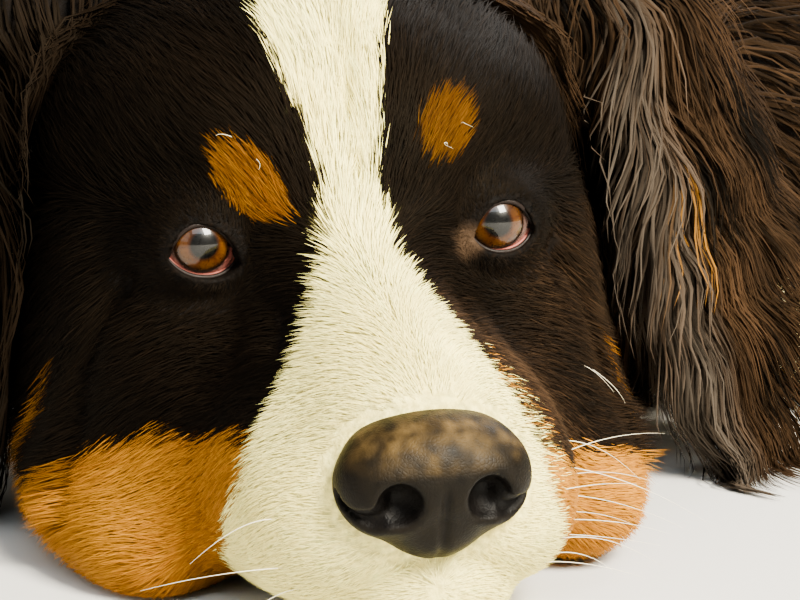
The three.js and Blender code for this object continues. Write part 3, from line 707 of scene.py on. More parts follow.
def tone(p, white, tan, rng, brown=0.012, even=0):
    """Colour of each hair or tuft: one of the three coats, with its own small change."""
    draw = rng.random(len(p))[:, None]
    light = rng.normal(0, 1, len(p))[:, None]
    slow = waver(p, 11, 5)[:, None]
    x, y, z = to_head(p).T[:, :, None]
    dusty = 0.06 * ramp(x, 38, 60) + 0.26 * ramp(-y, 18, 58)
    brown = brown + dusty * ramp(-z, -5, 15) * (y < 60) * (x > 12)
    # For the ears: tone in bands a few locks wide, partly each lock's own browness and partly painted shade
    # between the locks and painted sheen on them
    lock = even * (0.7 + slow + 2.2 * waver(p, 7, 12)[:, None])
    black = lerp(BLACK, BROWN, np.clip((draw**3 * 4 * (1 - even) + 1 + slow + lock) * brown, 0, 1))
    black = black * np.exp(0.25 * (1 - even) * light)
    inner_corner = np.hypot(x - LIDS[1]["middle"] + LIDS[1]["half"] + 2, z + 2.5)
    black = lerp(black, SPARSE, 0.75 * (1 - ramp(inner_corner, 1.5, 7)) * (y < 10))
    pale = lerp(WHITE, CREAM, np.clip(draw * 0.6 + 0.25 * slow, 0, 1)) * np.exp(0.05 * light)
    off_head = np.maximum(ramp(y, 70, 120), ramp(np.abs(x), 108, 130))
    pale = pale * (1 + off_head * [0, 0, 0.8])
    gold = lerp(TAN, RUST, np.clip(draw * 0.7 + 0.3 * slow, 0, 1)) * np.exp(0.12 * light)
    gold = gold * lerp(1, 0.4, (np.abs(x) > 58) * ramp(z, -84, -66) * (y > -5))
    # Painted shade: the tan on the dog's right side, which lies in shade, is darkened. On the brows the tan
    # is darker still, most on the left brow.
    left = ramp(x, -8, 8)
    on_brow = ramp(z, -5, 8) * (y < 40)
    gold = gold * lerp(lerp(0.74, 1, left), lerp(0.34, 0.14, left), on_brow)
    white, tan = white[:, None], tan[:, None]
    return np.clip(black * (1 - white - tan) + gold * tan + pale * white, 0, 1)


# Lie of the coat: which way the hair runs, from its place and the way out of the skin


def head_lie(p, normal):
    q = to_head(p)
    x, y, z = q.T
    side = np.sign(x) * np.minimum(np.abs(x) / 26, 1.4)
    bridge = rows(1.5 * side, 0.9, -0.4 * np.abs(side))
    brow = rows(0.55 * side, 0.7, 0.9 - ramp(y, 30, 90))
    way = mixed(bridge, brow, ramp(z, 0, 16))
    cheek = ramp(np.abs(x), 28, 52) * ramp(-z, -12, 14)
    way = mixed(way, rows(0.45 * np.sign(x), 0.6, -1.1), 0.8 * cheek)
    way = mixed(way, rows(0.5 * side, 1.0, -0.35), 0.6 * ramp(-z, 45, 70))
    for s in SIDES:
        away = q - [s * EYE_X, -6, 0]
        round_eye = 0.85 * (1 - ramp(span(away), 12, 26))
        way = mixed(way, unit(away) * 1.2 + [s * 0.5, 0.5, 0.1], round_eye)
    return unit(way) @ HEAD_TURN.T


def body_lie(p, normal):
    y = p[:, 1] - BODY_Y
    ruff = 1 - ramp(y, 90, 240)
    rump = ramp(y, 780, 880)
    wave = 0.3 * np.sin(y / 31 * 6.28 + 2.4 * waver(p, 30, 6))
    flank = np.abs(normal[:, 0])
    fall = -(0.35 + 0.45 * ruff + 0.9 * rump) * (0.25 + flank) - 0.5 * rump + wave * flank
    return rows(wave * normal[:, 2], 1 - 0.4 * ruff - 0.6 * rump, fall)


def ear_lie(p, normal):
    """Down and out in long waves, then forwards where the ear meets the floor."""
    q = to_head(p)
    z = q[:, 2]
    wave = 0.52 * np.sin(z / 34 * 6.28 + 2.6 * waver(q, 18, 6))
    left = q[:, 0] > 0
    fan = 0.011 * ((q - EARS[1]["middle"]) @ ear_turn(1))[:, 1]
    out = np.where(left, 0.28 + 0.3 * ramp(-z, -20, 60) + fan, -0.1 - 0.1 * ramp(-z, -10, 60))
    back = np.where(left, 0.1, 0.14) + wave * (1 - 0.3 * left)
    way = rows(out + wave * 0.7 * left, back, -1.0) @ HEAD_TURN.T
    loose = 0.9 * waver(p, 9, 8)
    ahead = rows(np.where(left, 0.3 + 0.9 * loose, -0.4), 0.3 * loose - 0.8, -0.35)
    return mixed(way, ahead, 0.8 * (1 - ramp(p[:, 2], 2, 34)))


def beside(line, p):
    """The nearest stretch of a line to each point: its way, the offset from it, and how far along it is."""
    line = np.asarray(line, float)
    reach = span(np.diff(line, axis=0))
    best = np.full(len(p), 1e9)
    way, offset, share = np.zeros_like(p), np.zeros_like(p), np.zeros(len(p))
    for i, a in enumerate(line[:-1]):
        along = unit(line[i + 1] - a)
        t = np.clip((p - a) @ along, 0, reach[i])
        d = p - a - t[:, None] * along
        closer = span(d) < best
        best = np.minimum(best, span(d))
        way[closer], offset[closer] = along, d[closer]
        share[closer] = (reach[:i].sum() + t)[closer] / reach.sum()
    return way, offset, share


tail_line = [on_body(*p) for p in TAIL_LINE]


def tail_lie(p, normal):
    return beside(tail_line, p)[0]


def straight(*way):
    return lambda p, normal: np.tile(way, (len(p), 1))


# Tufts: closed slivers of three sides that follow the coat's lie above the skin

# Where a tuft's corners lie along it, by how many steps it has
STOPS = {
    2: [0, 0.4, 1],
    3: [0, 0.26, 0.6, 1],
    4: [0, 0.18, 0.42, 0.7, 1],
    5: [0, 0.14, 0.32, 0.54, 0.77, 1],
    7: [0, 0.1, 0.24, 0.39, 0.55, 0.71, 0.86, 1],
}


# Hair longer than this keeps to its lift above the skin as it grows; other hair rises evenly
LONG_HAIR = 22
ROOT_DEPTH = 0.6
FLOOR_CLEARANCE = 1.0
# Painted shade along each tuft: darker at the root, in the shade of the hair around it, and a little brighter
# at the tip
ROOT_SHADE = {"white": 0.84, "dark": 0.42}
TIP_SHADE = 1.08


def placed(weight, count, rng):
    """Roots spread over the skin by the weight of its corners, with their normals."""
    tri = np.concatenate([skin_faces[:, [0, 1, 2]], skin_faces[:, [0, 2, 3]]])
    tri = tri[np.argsort(skin_corners[tri[:, 0], 1] // 6 * 1e4 + skin_corners[tri[:, 0], 2])]
    a, b, c = (skin_corners[tri[:, k]] for k in range(3))
    total = np.cumsum(span(np.cross(b - a, c - a)) / 2 * weight[tri].mean(1))
    picks = np.searchsorted(total, (np.arange(count) + rng.random(count)) / count * total[-1])
    tri = tri[np.minimum(picks, len(tri) - 1)]
    u, v = rng.random((2, count))
    over = u + v > 1
    u[over], v[over] = 1 - u[over], 1 - v[over]
    shares = [(1 - u - v)[:, None], u[:, None], v[:, None]]
    roots, normals = (sum(of[tri[:, k]] * shares[k] for k in range(3)) for of in (skin_corners, skin_normals))
    return roots, unit(normals)


def gathered(roots, cell):
    """From each root to the middle of its clump, which is a cell of a slanted grid."""
    place = (roots + waver(roots, cell * 3, 9)[:, None] * cell * 0.4) @ about(0, 31)
    _, clump = np.unique(np.floor(place / cell).astype(int), axis=0, return_inverse=True)
    clump = clump.ravel()
    middle = np.stack([np.bincount(clump, roots[:, k]) for k in range(3)], 1) / np.bincount(clump)[:, None]
    return middle[clump] - roots


def hull(rings, around):
    """Faces over rings of points that lie between a first and a last point."""
    faces = []
    last = rings * around + 1
    for j in range(around):
        k = (j + 1) % around
        faces.append((0, 1 + j, 1 + k))
        for i in range(1, last - around, around):
            faces += [(i + j, i + j + around, i + k + around), (i + j, i + k + around, i + k)]
        faces.append((last - around + j, last, last - around + k))
    return np.array(faces)


def grown(
    roots, normals, lie, length, width, lift, steps, rng, sway=0.1, wave=7, softness=0.45, cell=2, pull=0.55,
    hang=False,
):
    """Corners of tufts and their normals: a point sunk at the root, rings of three, and the tip."""
    draw_in = gathered(roots, cell) * pull
    turn = rng.normal(0, sway, len(roots))[:, None] + 2 * sway * waver(roots, wave, 2)[:, None]
    stops = STOPS[steps]
    rise = ramp(np.array(stops), -0.15, 0.75)
    long = length.mean() > LONG_HAIR
    p, n, flat = roots.copy(), normals, normals
    corners, shown = [], []
    for k, t in enumerate(stops):
        way = lie(p, n)
        off = (way * n).sum(1)[:, None]
        way = unit(way - n * (np.minimum(off, 0) if hang else off))
        way = unit(way + turn * np.cross(way, n))
        flat = n + 0.4 * flat
        flat = unit(flat - way * (flat * way).sum(1)[:, None])
        side = np.cross(way, flat)
        if k == 0:
            corners.append(p - n * ROOT_DEPTH - way * (0.04 * length)[:, None])
            shown.append(n)
        elif k == steps:
            corners.append(p)
            shown.append(unit(n + 0.3 * way))
        else:
            half = (width * 0.5 * (1.06 - t) ** 0.65)[:, None]
            for edge, up in ((1, 0), (0, 0.8), (-1, 0)):
                corners.append(p + (side * edge + flat * up) * half)
                shown.append(unit(flat * softness + (side * edge + flat * up) * (1 - softness)))
        if k < steps:
            ahead = stops[k + 1]
            p = p + way * (length * (ahead - t))[:, None] + draw_in * (ahead**1.5 - t**1.5)
            if long:
                uphill = np.stack([height(p + 3 * e) - height(p - 3 * e) for e in np.eye(3)], 1)
                n = unit(unit(uphill) + 0.6 * n)
                short = lift * rise[k + 1] - height(p)
                short = np.maximum(short, 0) if hang else short
                p = p + n * np.clip(short, -12, 12)[:, None]
            else:
                p = p + n * (lift * (rise[k + 1] - rise[k]))[:, None]
            p[:, 2] = np.maximum(p[:, 2], FLOOR_CLEARANCE + 0.6 * width)
    return np.stack(corners, 1), np.stack(shown, 1)


# Shader and geometry groups, and materials


def feed(made, inputs):
    """Sets a node's inputs, or links them where they are given a socket."""
    for key, value in inputs.items():
        if isinstance(value, bpy.types.NodeSocket):
            made.id_data.links.new(value, made.inputs[key])
        else:
            made.inputs[key].default_value = value


def node(tree, kind, inputs=None, **settings):
    made = tree.nodes.new(kind)
    for key, value in settings.items():
        setattr(made, key, value)
    feed(made, inputs or {})
    return made.outputs


def worked(tree, operation, a, b):
    return node(tree, "ShaderNodeMath", {0: a, 1: b}, operation=operation)[0]


def ranged(tree, value, low, high, start=0.3, end=0.7, **settings):
    given = {"Value": value, "From Min": start, "From Max": end, "To Min": low, "To Max": high}
    return node(tree, "ShaderNodeMapRange", given, **settings)[0]


def group(name, kind, inputs, outputs):
    """A node group from each socket's kind and value, with its inputs as seen inside, and its output node."""
    tree = bpy.data.node_groups.new(name, kind)
    for way, sockets in (("INPUT", inputs), ("OUTPUT", outputs)):
        for label, (of, *value) in sockets.items():
            made = tree.interface.new_socket(name=label, in_out=way, socket_type="NodeSocket" + of)
            if value:
                made.default_value = value[0]
    return tree, node(tree, "NodeGroupInput"), tree.nodes.new("NodeGroupOutput")


def mottle_group():
    """Uneven tone: multiplies a colour by slow and fine noise."""
    inputs = {"Color": ("Color", (1, 1, 1, 1)), "Size": ("Float", 100), "Amount": ("Float", 0.3)}
    tree, given, out = group("mottle", "ShaderNodeTree", inputs, {"Color": ("Color",), "Mask": ("Float",)})
    place = node(tree, "ShaderNodeTexCoord")["Object"]
    noise = node(tree, "ShaderNodeTexNoise", {"Vector": place, "Scale": given["Size"], "Detail": 5.0})["Fac"]
    low, high = (worked(tree, way, 1.0, given["Amount"]) for way in ("SUBTRACT", "ADD"))
    shade = ranged(tree, noise, low, high)
    grey = node(tree, "ShaderNodeCombineColor", dict.fromkeys(("Red", "Green", "Blue"), shade))[0]
    mix = {0: 1.0, 6: given["Color"], 7: grey}
    shaded = node(tree, "ShaderNodeMix", mix, data_type="RGBA", blend_type="MULTIPLY")[2]
    feed(out, {"Color": shaded, "Mask": noise})
    return tree


MOTTLE = mottle_group()


def painted(name, scale, amount, roughness, specular, bump=None, **values):
    """A material coloured by the Coat attribute, mottled, with noise in its gloss and bump."""
    made = bpy.data.materials.new(name)
    made.use_nodes = True
    tree = made.node_tree
    shader = tree.nodes["Principled BSDF"]
    colour = node(tree, "ShaderNodeAttribute", attribute_name="Coat")["Color"]
    tuned = {"Color": colour, "Size": scale, "Amount": amount}
    mottle = node(tree, "ShaderNodeGroup", tuned, node_tree=MOTTLE)
    feed(shader, {"Base Color": mottle["Color"], "Roughness": ranged(tree, mottle["Mask"], *roughness)})
    feed(shader, {"Specular IOR Level": specular})
    feed(shader, {key.replace("_", " "): value for key, value in values.items()})
    if bump:
        kind, scale, strength, distance = bump
        at = {"Vector": node(tree, "ShaderNodeTexCoord")["Object"], "Scale": scale}
        if kind == "pebbles":
            grain = node(tree, "ShaderNodeTexVoronoi", at, feature="DISTANCE_TO_EDGE")["Distance"]
            high = ranged(tree, grain, 0.0, 1.0, 0.0, 0.25, interpolation_type="SMOOTHSTEP")
        else:
            high = node(tree, "ShaderNodeTexNoise", {**at, "Detail": 4.0})["Fac"]
        relief = node(tree, "ShaderNodeBump", {"Height": high, "Strength": strength, "Distance": distance})[0]
        feed(shader, {"Normal": relief})
    return made


hair = painted("hair", 60, 0.12, (0.58, 0.74), 0.05, Specular_Tint=(0.75, 0.6, 0.42, 1))
short_coat = painted("short_coat", 420, 0.35, (0.6, 0.85), 0.04, ("grain", 900, 0.5, 0.001))
leather = painted("nose_pad", 300, 0.35, (0.45, 0.62), 0.08, ("pebbles", 900, 0.16, 0.0004))
wet_lid = painted("wet_lid", 500, 0.2, (0.4, 0.55), 0.1, ("grain", 1500, 0.3, 0.0003))
horn = painted("claw_horn", 240, 0.3, (0.3, 0.45), 0.5, ("grain", 700, 0.25, 0.0004))
wet_eye = painted("eye", 900, 0.2, (0.25, 0.35), 0.15, Coat_Weight=0.75, Coat_Roughness=0.015, Coat_IOR=1.4)


# Meshes

eye_low, eye_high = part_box("eye_left")
SHIFT = np.array([(a + b) / 2 * 1000 for a, b in zip(eye_low, eye_high)]) - EYE_LEFT_MIDDLE
SHIFT[2] = 0


def row_frame(p):
    return (np.asarray(p) + SHIFT) / 1000


def maker_frame(p):
    return np.asarray(p) * 1000 - SHIFT


def corners_of(mesh):
    at = np.empty(len(mesh.vertices) * 3, np.float32)
    mesh.vertices.foreach_get("co", at)
    return maker_frame(at.reshape(-1, 3).astype(float))


def paint(mesh, colours):
    layer = mesh.color_attributes.get("Coat") or mesh.color_attributes.new("Coat", "FLOAT_COLOR", "POINT")
    layer.data.foreach_set("color", rows(*np.transpose(colours), 1.0).astype(np.float32).ravel())


def added(name, data):
    """A new object in the scene, at the origin."""
    made = bpy.data.objects.new(name, data)
    bpy.context.scene.collection.objects.link(made)
    return made


def applied(made):
    """Gives an object the plain mesh that its modifiers make, and drops them."""
    seen = made.evaluated_get(bpy.context.evaluated_depsgraph_get())
    made.data = bpy.data.meshes.new_from_object(seen)
    made.modifiers.clear()
    return made.data


def piece(name, corners, faces, finish, colours, patches=None, normals=None):
    """A named mesh in the row frame, with its colours and, for a coat, its bake patches and normals."""
    mesh = bpy.data.meshes.new(name)
    mesh.from_pydata(row_frame(corners.reshape(-1, 3)).tolist(), [], faces.tolist(), shade_flat=False)
    paint(mesh, colours)
    if patches is not None:
        layer = mesh.uv_layers.new(name="OFBake")
        layer.data.foreach_set("uv", patches.reshape(-1, 2)[faces.ravel()].astype(np.float32).ravel())
        mesh.normals_split_custom_set_from_vertices(normals.reshape(-1, 3).astype(np.float32))
    mesh.materials.append(finish)
    made = added(name, mesh)
    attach(made, "root")
    return made


def tapered_group():
    """Tubes with closed ends along polylines, thinner towards each line's last point."""
    shape = {"Geometry": ("Geometry",)}
    inputs = {"Thickness": ("Float", 0.001), "Taper": ("Float", 0.8), "Power": ("Float", 1.0)}
    inputs = {**shape, **inputs, "Sides": ("Int", 8), "Material": ("Material",)}
    tree, given, out = group("tapered", "GeometryNodeTree", inputs, shape)
    lines = node(tree, "GeometryNodeMeshToCurve", {"Mesh": given["Geometry"]})[0]
    along = node(tree, "GeometryNodeSplineParameter")["Factor"]
    lost = worked(tree, "MULTIPLY", worked(tree, "POWER", along, given["Power"]), given["Taper"])
    radius = worked(tree, "MULTIPLY", worked(tree, "SUBTRACT", 1.0, lost), given["Thickness"])
    ring = node(tree, "GeometryNodeCurvePrimitiveCircle", {"Resolution": given["Sides"], "Radius": 1.0})[0]
    swept = {"Curve": lines, "Profile Curve": ring, "Scale": radius, "Fill Caps": True}
    tubes = node(tree, "GeometryNodeCurveToMesh", swept)[0]
    smooth = node(tree, "GeometryNodeSetShadeSmooth", {"Geometry": tubes})[0]
    real = node(tree, "GeometryNodeRealizeInstances", {"Geometry": smooth})[0]
    last = node(tree, "GeometryNodeSetMaterial", {"Geometry": real, "Material": given["Material"]})[0]
    feed(out, {"Geometry": last})
    return tree


TAPERED = tapered_group()


def tubes_along(name, lines, colour, given):
    """A piece made of tapered tubes along lines of points, with the group's inputs by name."""
    mesh = bpy.data.meshes.new(name + "_lines")
    corners, edges = [], []
    for line in lines:
        start = len(corners)
        corners += [tuple(row_frame(p)) for p in line]
        edges += [(i, i + 1) for i in range(start, len(corners) - 1)]
    mesh.from_pydata(corners, edges, [])
    made = added(name, mesh)
    live = made.modifiers.new("tapered", "NODES")
    live.node_group = TAPERED
    for item in TAPERED.interface.items_tree:
        if item.in_out == "INPUT" and item.name in given:
            live[item.identifier] = given[item.name]
    mesh = applied(made)
    paint(mesh, colour(corners_of(mesh)))
    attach(made, "root")
    return made


# Skin: one closed surface over the whole dog, thinned where the long coat hides it and fine at the eyes

FACE_END = 60
THINNED_SHARE = 0.66
SKIN_SHADE = 0.75
LONGEST_AT_EYES = (0.0017, 0.0011)
FLESH = [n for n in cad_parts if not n.startswith(("eye_", "claw_", "nose"))]
skin = piece("skin", skin_corners, skin_faces, short_coat, np.zeros((len(skin_corners), 3)))
hidden = (to_head(skin_corners)[:, 1] > FACE_END) & (np.min([paw(skin_corners) for paw in paws], 0) >= 6)
skin.vertex_groups.new(name="hidden").add(np.nonzero(hidden)[0].tolist(), 1.0, "REPLACE")
thin = skin.modifiers.new("thin", "DECIMATE")
thin.ratio = THINNED_SHARE
thin.vertex_group = "hidden"
thin.vertex_group_factor = 1.0
thinned = applied(skin)


def at_eye(vertex):
    q = to_head(maker_frame(vertex.co)[None])[0]
    return 26 < abs(q[0]) < 62 and abs(q[2]) < 17 and q[1] < 6


bm = bmesh.new()
bm.from_mesh(thinned)
for longest in LONGEST_AT_EYES:
    edges = [e for e in bm.edges if e.calc_length() > longest and all(at_eye(v) for v in e.verts)]
    bmesh.ops.subdivide_edges(bm, edges=edges, cuts=1, use_grid_fill=True)
    bmesh.ops.triangulate(bm, faces=[f for f in bm.faces if len(f.verts) > 4])
    bm.verts.ensure_lookup_table()
    close = [v for v in bm.verts if at_eye(v)]
    moved = settle(skin_field, maker_frame([tuple(v.co) for v in close]), rounds=3)
    for v, co in zip(close, row_frame(moved)):
        v.co = co
bm.to_mesh(thinned)
bm.free()
thinned.shade_smooth()
skin_at = corners_of(thinned)
# Painted shade: the skin has the coat's colours, darkened as it lies in the shade of the hair
paint(thinned, tone(skin_at, *marks(skin_at), np.random.default_rng(11)) * SKIN_SHADE)
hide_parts(*FLESH)


# Eyes


def eye(s):
    """A ball with a swell over the iris, turned to look past the viewer."""
    rings, around = 56, 72
    middle = from_head([s * EYE_X, 0, 0])
    gaze = unit(GAZE_AT - middle)
    side = unit(np.cross(gaze, [0, 0, 1]))
    over = np.cross(side, gaze)
    angle = np.linspace(0, np.pi, rings)
    limbus = math.asin(IRIS / EYE_RADIUS)
    radius = EYE_RADIUS + 1.3 * np.clip(1 - (angle / (limbus * 1.1)) ** 2, 0, 1) ** 1.2
    turn = np.arange(around) * 2 * np.pi / around
    ring = side * np.cos(turn)[:, None] + over * np.sin(turn)[:, None]
    ahead, out = ((radius * way(angle))[1:-1, None, None] for way in (np.cos, np.sin))
    corners = (middle + gaze * ahead + ring * out).reshape(-1, 3)
    corners = np.concatenate([[middle + gaze * radius[0]], corners, [middle - gaze * radius[-1]]])

    d = corners - middle
    r = span(d - (d @ gaze)[:, None] * gaze) / IRIS
    r = np.where(d @ gaze > 0, r, 2)
    turn = np.arctan2(d @ over, d @ side)
    fibre = 0.5 + 0.5 * np.sin(turn * 37 + 3 * np.sin(turn * 9)) * np.sin(turn * 23 + 1)
    amber = mixed(AMBER_DARK, AMBER, fibre * ramp(r, 0.42, 0.75))
    # Dark at the rim of the iris, and a painted shadow of the upper lid over its top part
    shaded = np.maximum(ramp(r, 0.78, 0.94), 0.75 * ramp(r * np.sin(turn), -0.1, 0.7))
    amber = mixed(amber, IRIS_RIM_AND_LID_SHADOW, shaded)
    colour = mixed(PUPIL, amber, ramp(r, 0.48, 0.56))
    x, _, z = to_head(corners).T
    over_lid = z - lid_height(s, x, False)
    from_nose = s * x - (LIDS[s]["middle"] - LIDS[s]["half"])
    wet = 1 - np.minimum(ramp(over_lid, 0.8, 3.2), ramp(from_nose, 2.5, 6.5))
    colour = lerp(colour, lerp(EYE_WHITE, PINK, wet[:, None]), ramp(r, 0.99, 1.06)[:, None])
    made = piece("eyeball_" + SIDE_NAMES[s], corners, hull(rings - 2, around), wet_eye, colour)
    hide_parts("eye_" + SIDE_NAMES[s])


def tube(line, radii, around):
    """Corners of a closed tube along points, tapering to its ends, for hull to cover."""
    ways = unit(np.gradient(line, axis=0))
    side = unit(np.cross(ways, [0, -1, 0.3]))
    over = np.cross(side, ways)
    angle = np.arange(around) * 2 * np.pi / around
    ring = side[:, None] * np.cos(angle)[None, :, None] + over[:, None] * np.sin(angle)[None, :, None]
    corners = (line[:, None] + ring * radii[:, None, None]).reshape(-1, 3)
    ends = line[:1] - ways[:1] * radii[0] * 0.3, line[-1:] + ways[-1:] * radii[-1] * 0.3
    return np.concatenate([ends[0], corners, ends[1]])


def lid_line(s, upper, count, out=0.0):
    """Points along the edge of a lid, and their share of it, from -1 at the inner corner to 1."""
    u = -np.cos(np.linspace(0, np.pi, count))
    x = s * (LIDS[s]["middle"] + LIDS[s]["half"] * u)
    z = lid_height(s, x, upper)
    away = np.hypot(x - s * EYE_X, z)
    y = -np.sqrt(np.maximum((EYE_RADIUS + 1.0 + out) ** 2 - away**2, 12))
    return from_head(rows(x, y, z)), u


def lids(s):
    """Dark rims along both lids, and a wet pink line inside the lower one."""
    wet, u = lid_line(s, False, 32, -0.8)
    lines = [(*lid_line(s, upper, 40), 0.35, 0.4, 10, RIM_DARK) for upper in (True, False)]
    lines.append((wet[2:-2] + [0, 0, 0.6], u[2:-2], 0.25, 0.55, 8, PINK))
    corners, faces, colours = [], [], []
    for line, u, least, more, around, colour in lines:
        faces.append(hull(len(line), around)[:, ::-1] + sum(len(one) for one in corners))
        corners.append(tube(line, least + more * (1 - u**4), around))
        colours.append(np.tile(colour, (len(corners[-1]), 1)))
    corners, faces, colours = (np.concatenate(one) for one in (corners, faces, colours))
    piece("eyelids_" + SIDE_NAMES[s], corners, faces, wet_lid, colours)


for s in SIDES:
    eye(s)
    lids(s)


# Nose pad, with its nostrils and the groove between them

nose_body = blend(
    6,
    ball((0, -98, -36), (23, 15, 15)),
    *pairs(((12.5, -98, -39), (12.5, 14, 12.5))),
    ball((0, -97, -50), (12, 12, 9)),
    ball((0, -91, -31), (18, 13, 8)),
)
wings = pairs(((18, -102.8, -39.5), (4.8, 4.6, 4)))
philtrum = chain([(0, -113.6, -36), (0, -111.1, -45), (0, -108.4, -54), (0, -101, -61)], 1.2)


def nostril(s):
    inner, middle, outer = (s * 12, -113, -42), (s * 18.5, -108, -43.8), (s * 24, -99, -39.5)
    hole = ball((s * 11.6, -113, -39.4), (6, 9, 6.2))
    return blend(2.5, hole, limb(inner, middle, 3.6, 2.8), limb(middle, outer, 2.8, 1.5))


nostrils = both(nostril)


def nose_field(q):
    d = nose_body(q)
    for one in nostrils:
        d = carve(d, one(q), 2)
    return carve(merged(d, wings, q, 1.6), philtrum(q), 1.0)


nose_grid = [graded((low, 0.9), (high, 1)) for low, high in ((-27, 27), (-116, -74), (-62, -14))]
corners, faces = surface_net(sampled(nose_field, nose_grid), nose_grid)
corners = settle(nose_field, corners, reach=0.8)
on_top = ramp(corners[:, 2], -33, -26) * ramp(-corners[:, 1], 86, 96)
mottled = (0.5 + 0.5 * waver(corners, 2.3, 4)) * (0.55 + 0.45 * waver(corners, 1.1, 6))
tint = mixed(NOSE_BLACK, NOSE_BROWN, mottled * on_top)
# Painted shade: darker where the surface lies below the pad's own shape, in the nostrils and the groove
# between them
tint = mixed(tint, NOSTRIL_SHADE, ramp(-nose_body(corners), 0.3, 1.8))
nose = piece("nose_leather", from_head(corners), faces, leather, tint)
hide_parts("nose")


# Claws: curved horn with a blunt tip


def claw_line(s, plan, n):
    place, reach = paw_place(s, plan), toe_reach(plan, n)
    along = np.linspace(0, 1, 12)
    return [place(n * (17.5 + 0.5 * k), reach + 3 + 20 * k, 16.5 - 1.5 * k - 10 * k * k) for k in along]


def claw_colour(p):
    return mixed(CLAW_PALE, CLAW_DARK, 0.5 + 0.5 * waver(p, 6))


claw_lines = [claw_line(s, plan, n) for s in SIDES for plan in PAW_PLANS for n in TOES]
claw_shape = {"Thickness": 0.0043, "Taper": 0.74, "Power": 1.5, "Sides": 14, "Material": horn}
claws = tubes_along("claws", claw_lines, claw_colour, claw_shape)
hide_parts(*[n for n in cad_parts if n.startswith("claw_")])


# Whiskers on the lips, and long single hairs on the brows and cheeks

# Way out of the skin (sideways, back, up), length, droop and curl: numbers, or ranges to draw from
LIP_HAIR = ((0.8, 1.1), (-0.1, 0.45), (-0.25, 0.12), (18, 42), (2, 14), (-5, 5))
BROW_HAIR = ((-0.2, 0.7), -1, (0.2, 0.9), (10, 18), (2, 6), (-6, 6))
CHEEK_HAIR = (1, (-0.2, 0.3), (-0.5, 0.2), (10, 18), (2, 9), (-9, 9))


def whisker(rng, s, root, plan):
    """Points of a hair that leaves the skin, bends down and curls sideways."""
    x, y, z, length, droop, curl = [rng.uniform(*one) if isinstance(one, tuple) else one for one in plan]
    root = settle(skin_field, from_head([[s * root[0], *root[1:]]]), rounds=5, reach=20)[0]
    way = unit(np.array([s * x, y, z]) @ HEAD_TURN.T)
    side = unit(np.cross(way, [0, 0, 1]))
    t = np.linspace(0, 1, 14)[:, None]
    line = root + way * (length * t - 1) - [0, 0, droop] * t * t + side * curl * np.sin(2.6 * t) * t
    return np.maximum(line, [-np.inf, -np.inf, 1.2])


rng = np.random.default_rng(5)
whiskers = []
for s in SIDES:
    for row in range(3):
        for i in range(4 if s > 0 else 1):
            whiskers.append(whisker(rng, s, (30 + 2 * i, -80 + 10 * i - 2 * row, -53 - 6 * row), LIP_HAIR))
    whiskers += [whisker(rng, s, (26 + 6 * i, -6, 24 + 6 * i), BROW_HAIR) for i in range(2)]
    whiskers += [whisker(rng, s, (70, -16 + 9 * i, -40 - 5 * i), CHEEK_HAIR) for i in range(1 + s)]
whisker_shape = {"Thickness": 0.00013, "Taper": 0.85, "Power": 1.0, "Sides": 6, "Material": hair}
tubes_along("whiskers", whiskers, lambda p: np.tile(WHISKER, (len(p), 1)), whisker_shape)


# Coat


def round_head(roots):
    """The head opened out flat from the nose, by direction from its middle."""
    d = to_head(roots) - [0, 20, -25]
    away = np.arccos(np.clip(-unit(d)[:, 1], -1, 1)) / np.pi
    turn = np.arctan2(d[:, 2], d[:, 0])
    return 0.5 + 0.49 * away[:, None] * rows(np.cos(turn), np.sin(turn))


def round_line(line):
    """A long part opened out flat: along its line, and round it."""

    def unwrap(roots):
        way, offset, share = beside(line, roots)
        side = unit(np.cross(way, [0.01, 0, 1]))
        turn = np.arctan2((offset * np.cross(side, way)).sum(1), (offset * side).sum(1))
        return rows(0.01 + 0.98 * share, 0.5 + 0.49 * turn / np.pi)

    return unwrap


def bake_patches(middles, rings, wide=0.0015, long=0.003):
    """A small patch of the bake for each tuft, at its root's place on an unwrap of the skin."""
    small = [(j - 1, (k + 1) / (rings + 1) - 0.5) for k in range(rings) for j in range(3)]
    return middles[:, None] + np.array([(0, -0.5), *small, (0, 0.5)]) * [wide, long]


def drawn(how, roots, rng, *more):
    """A number for each root: from a function, or even between two limits."""
    return how(roots, rng, *more) if callable(how) else rng.uniform(*how, len(roots))


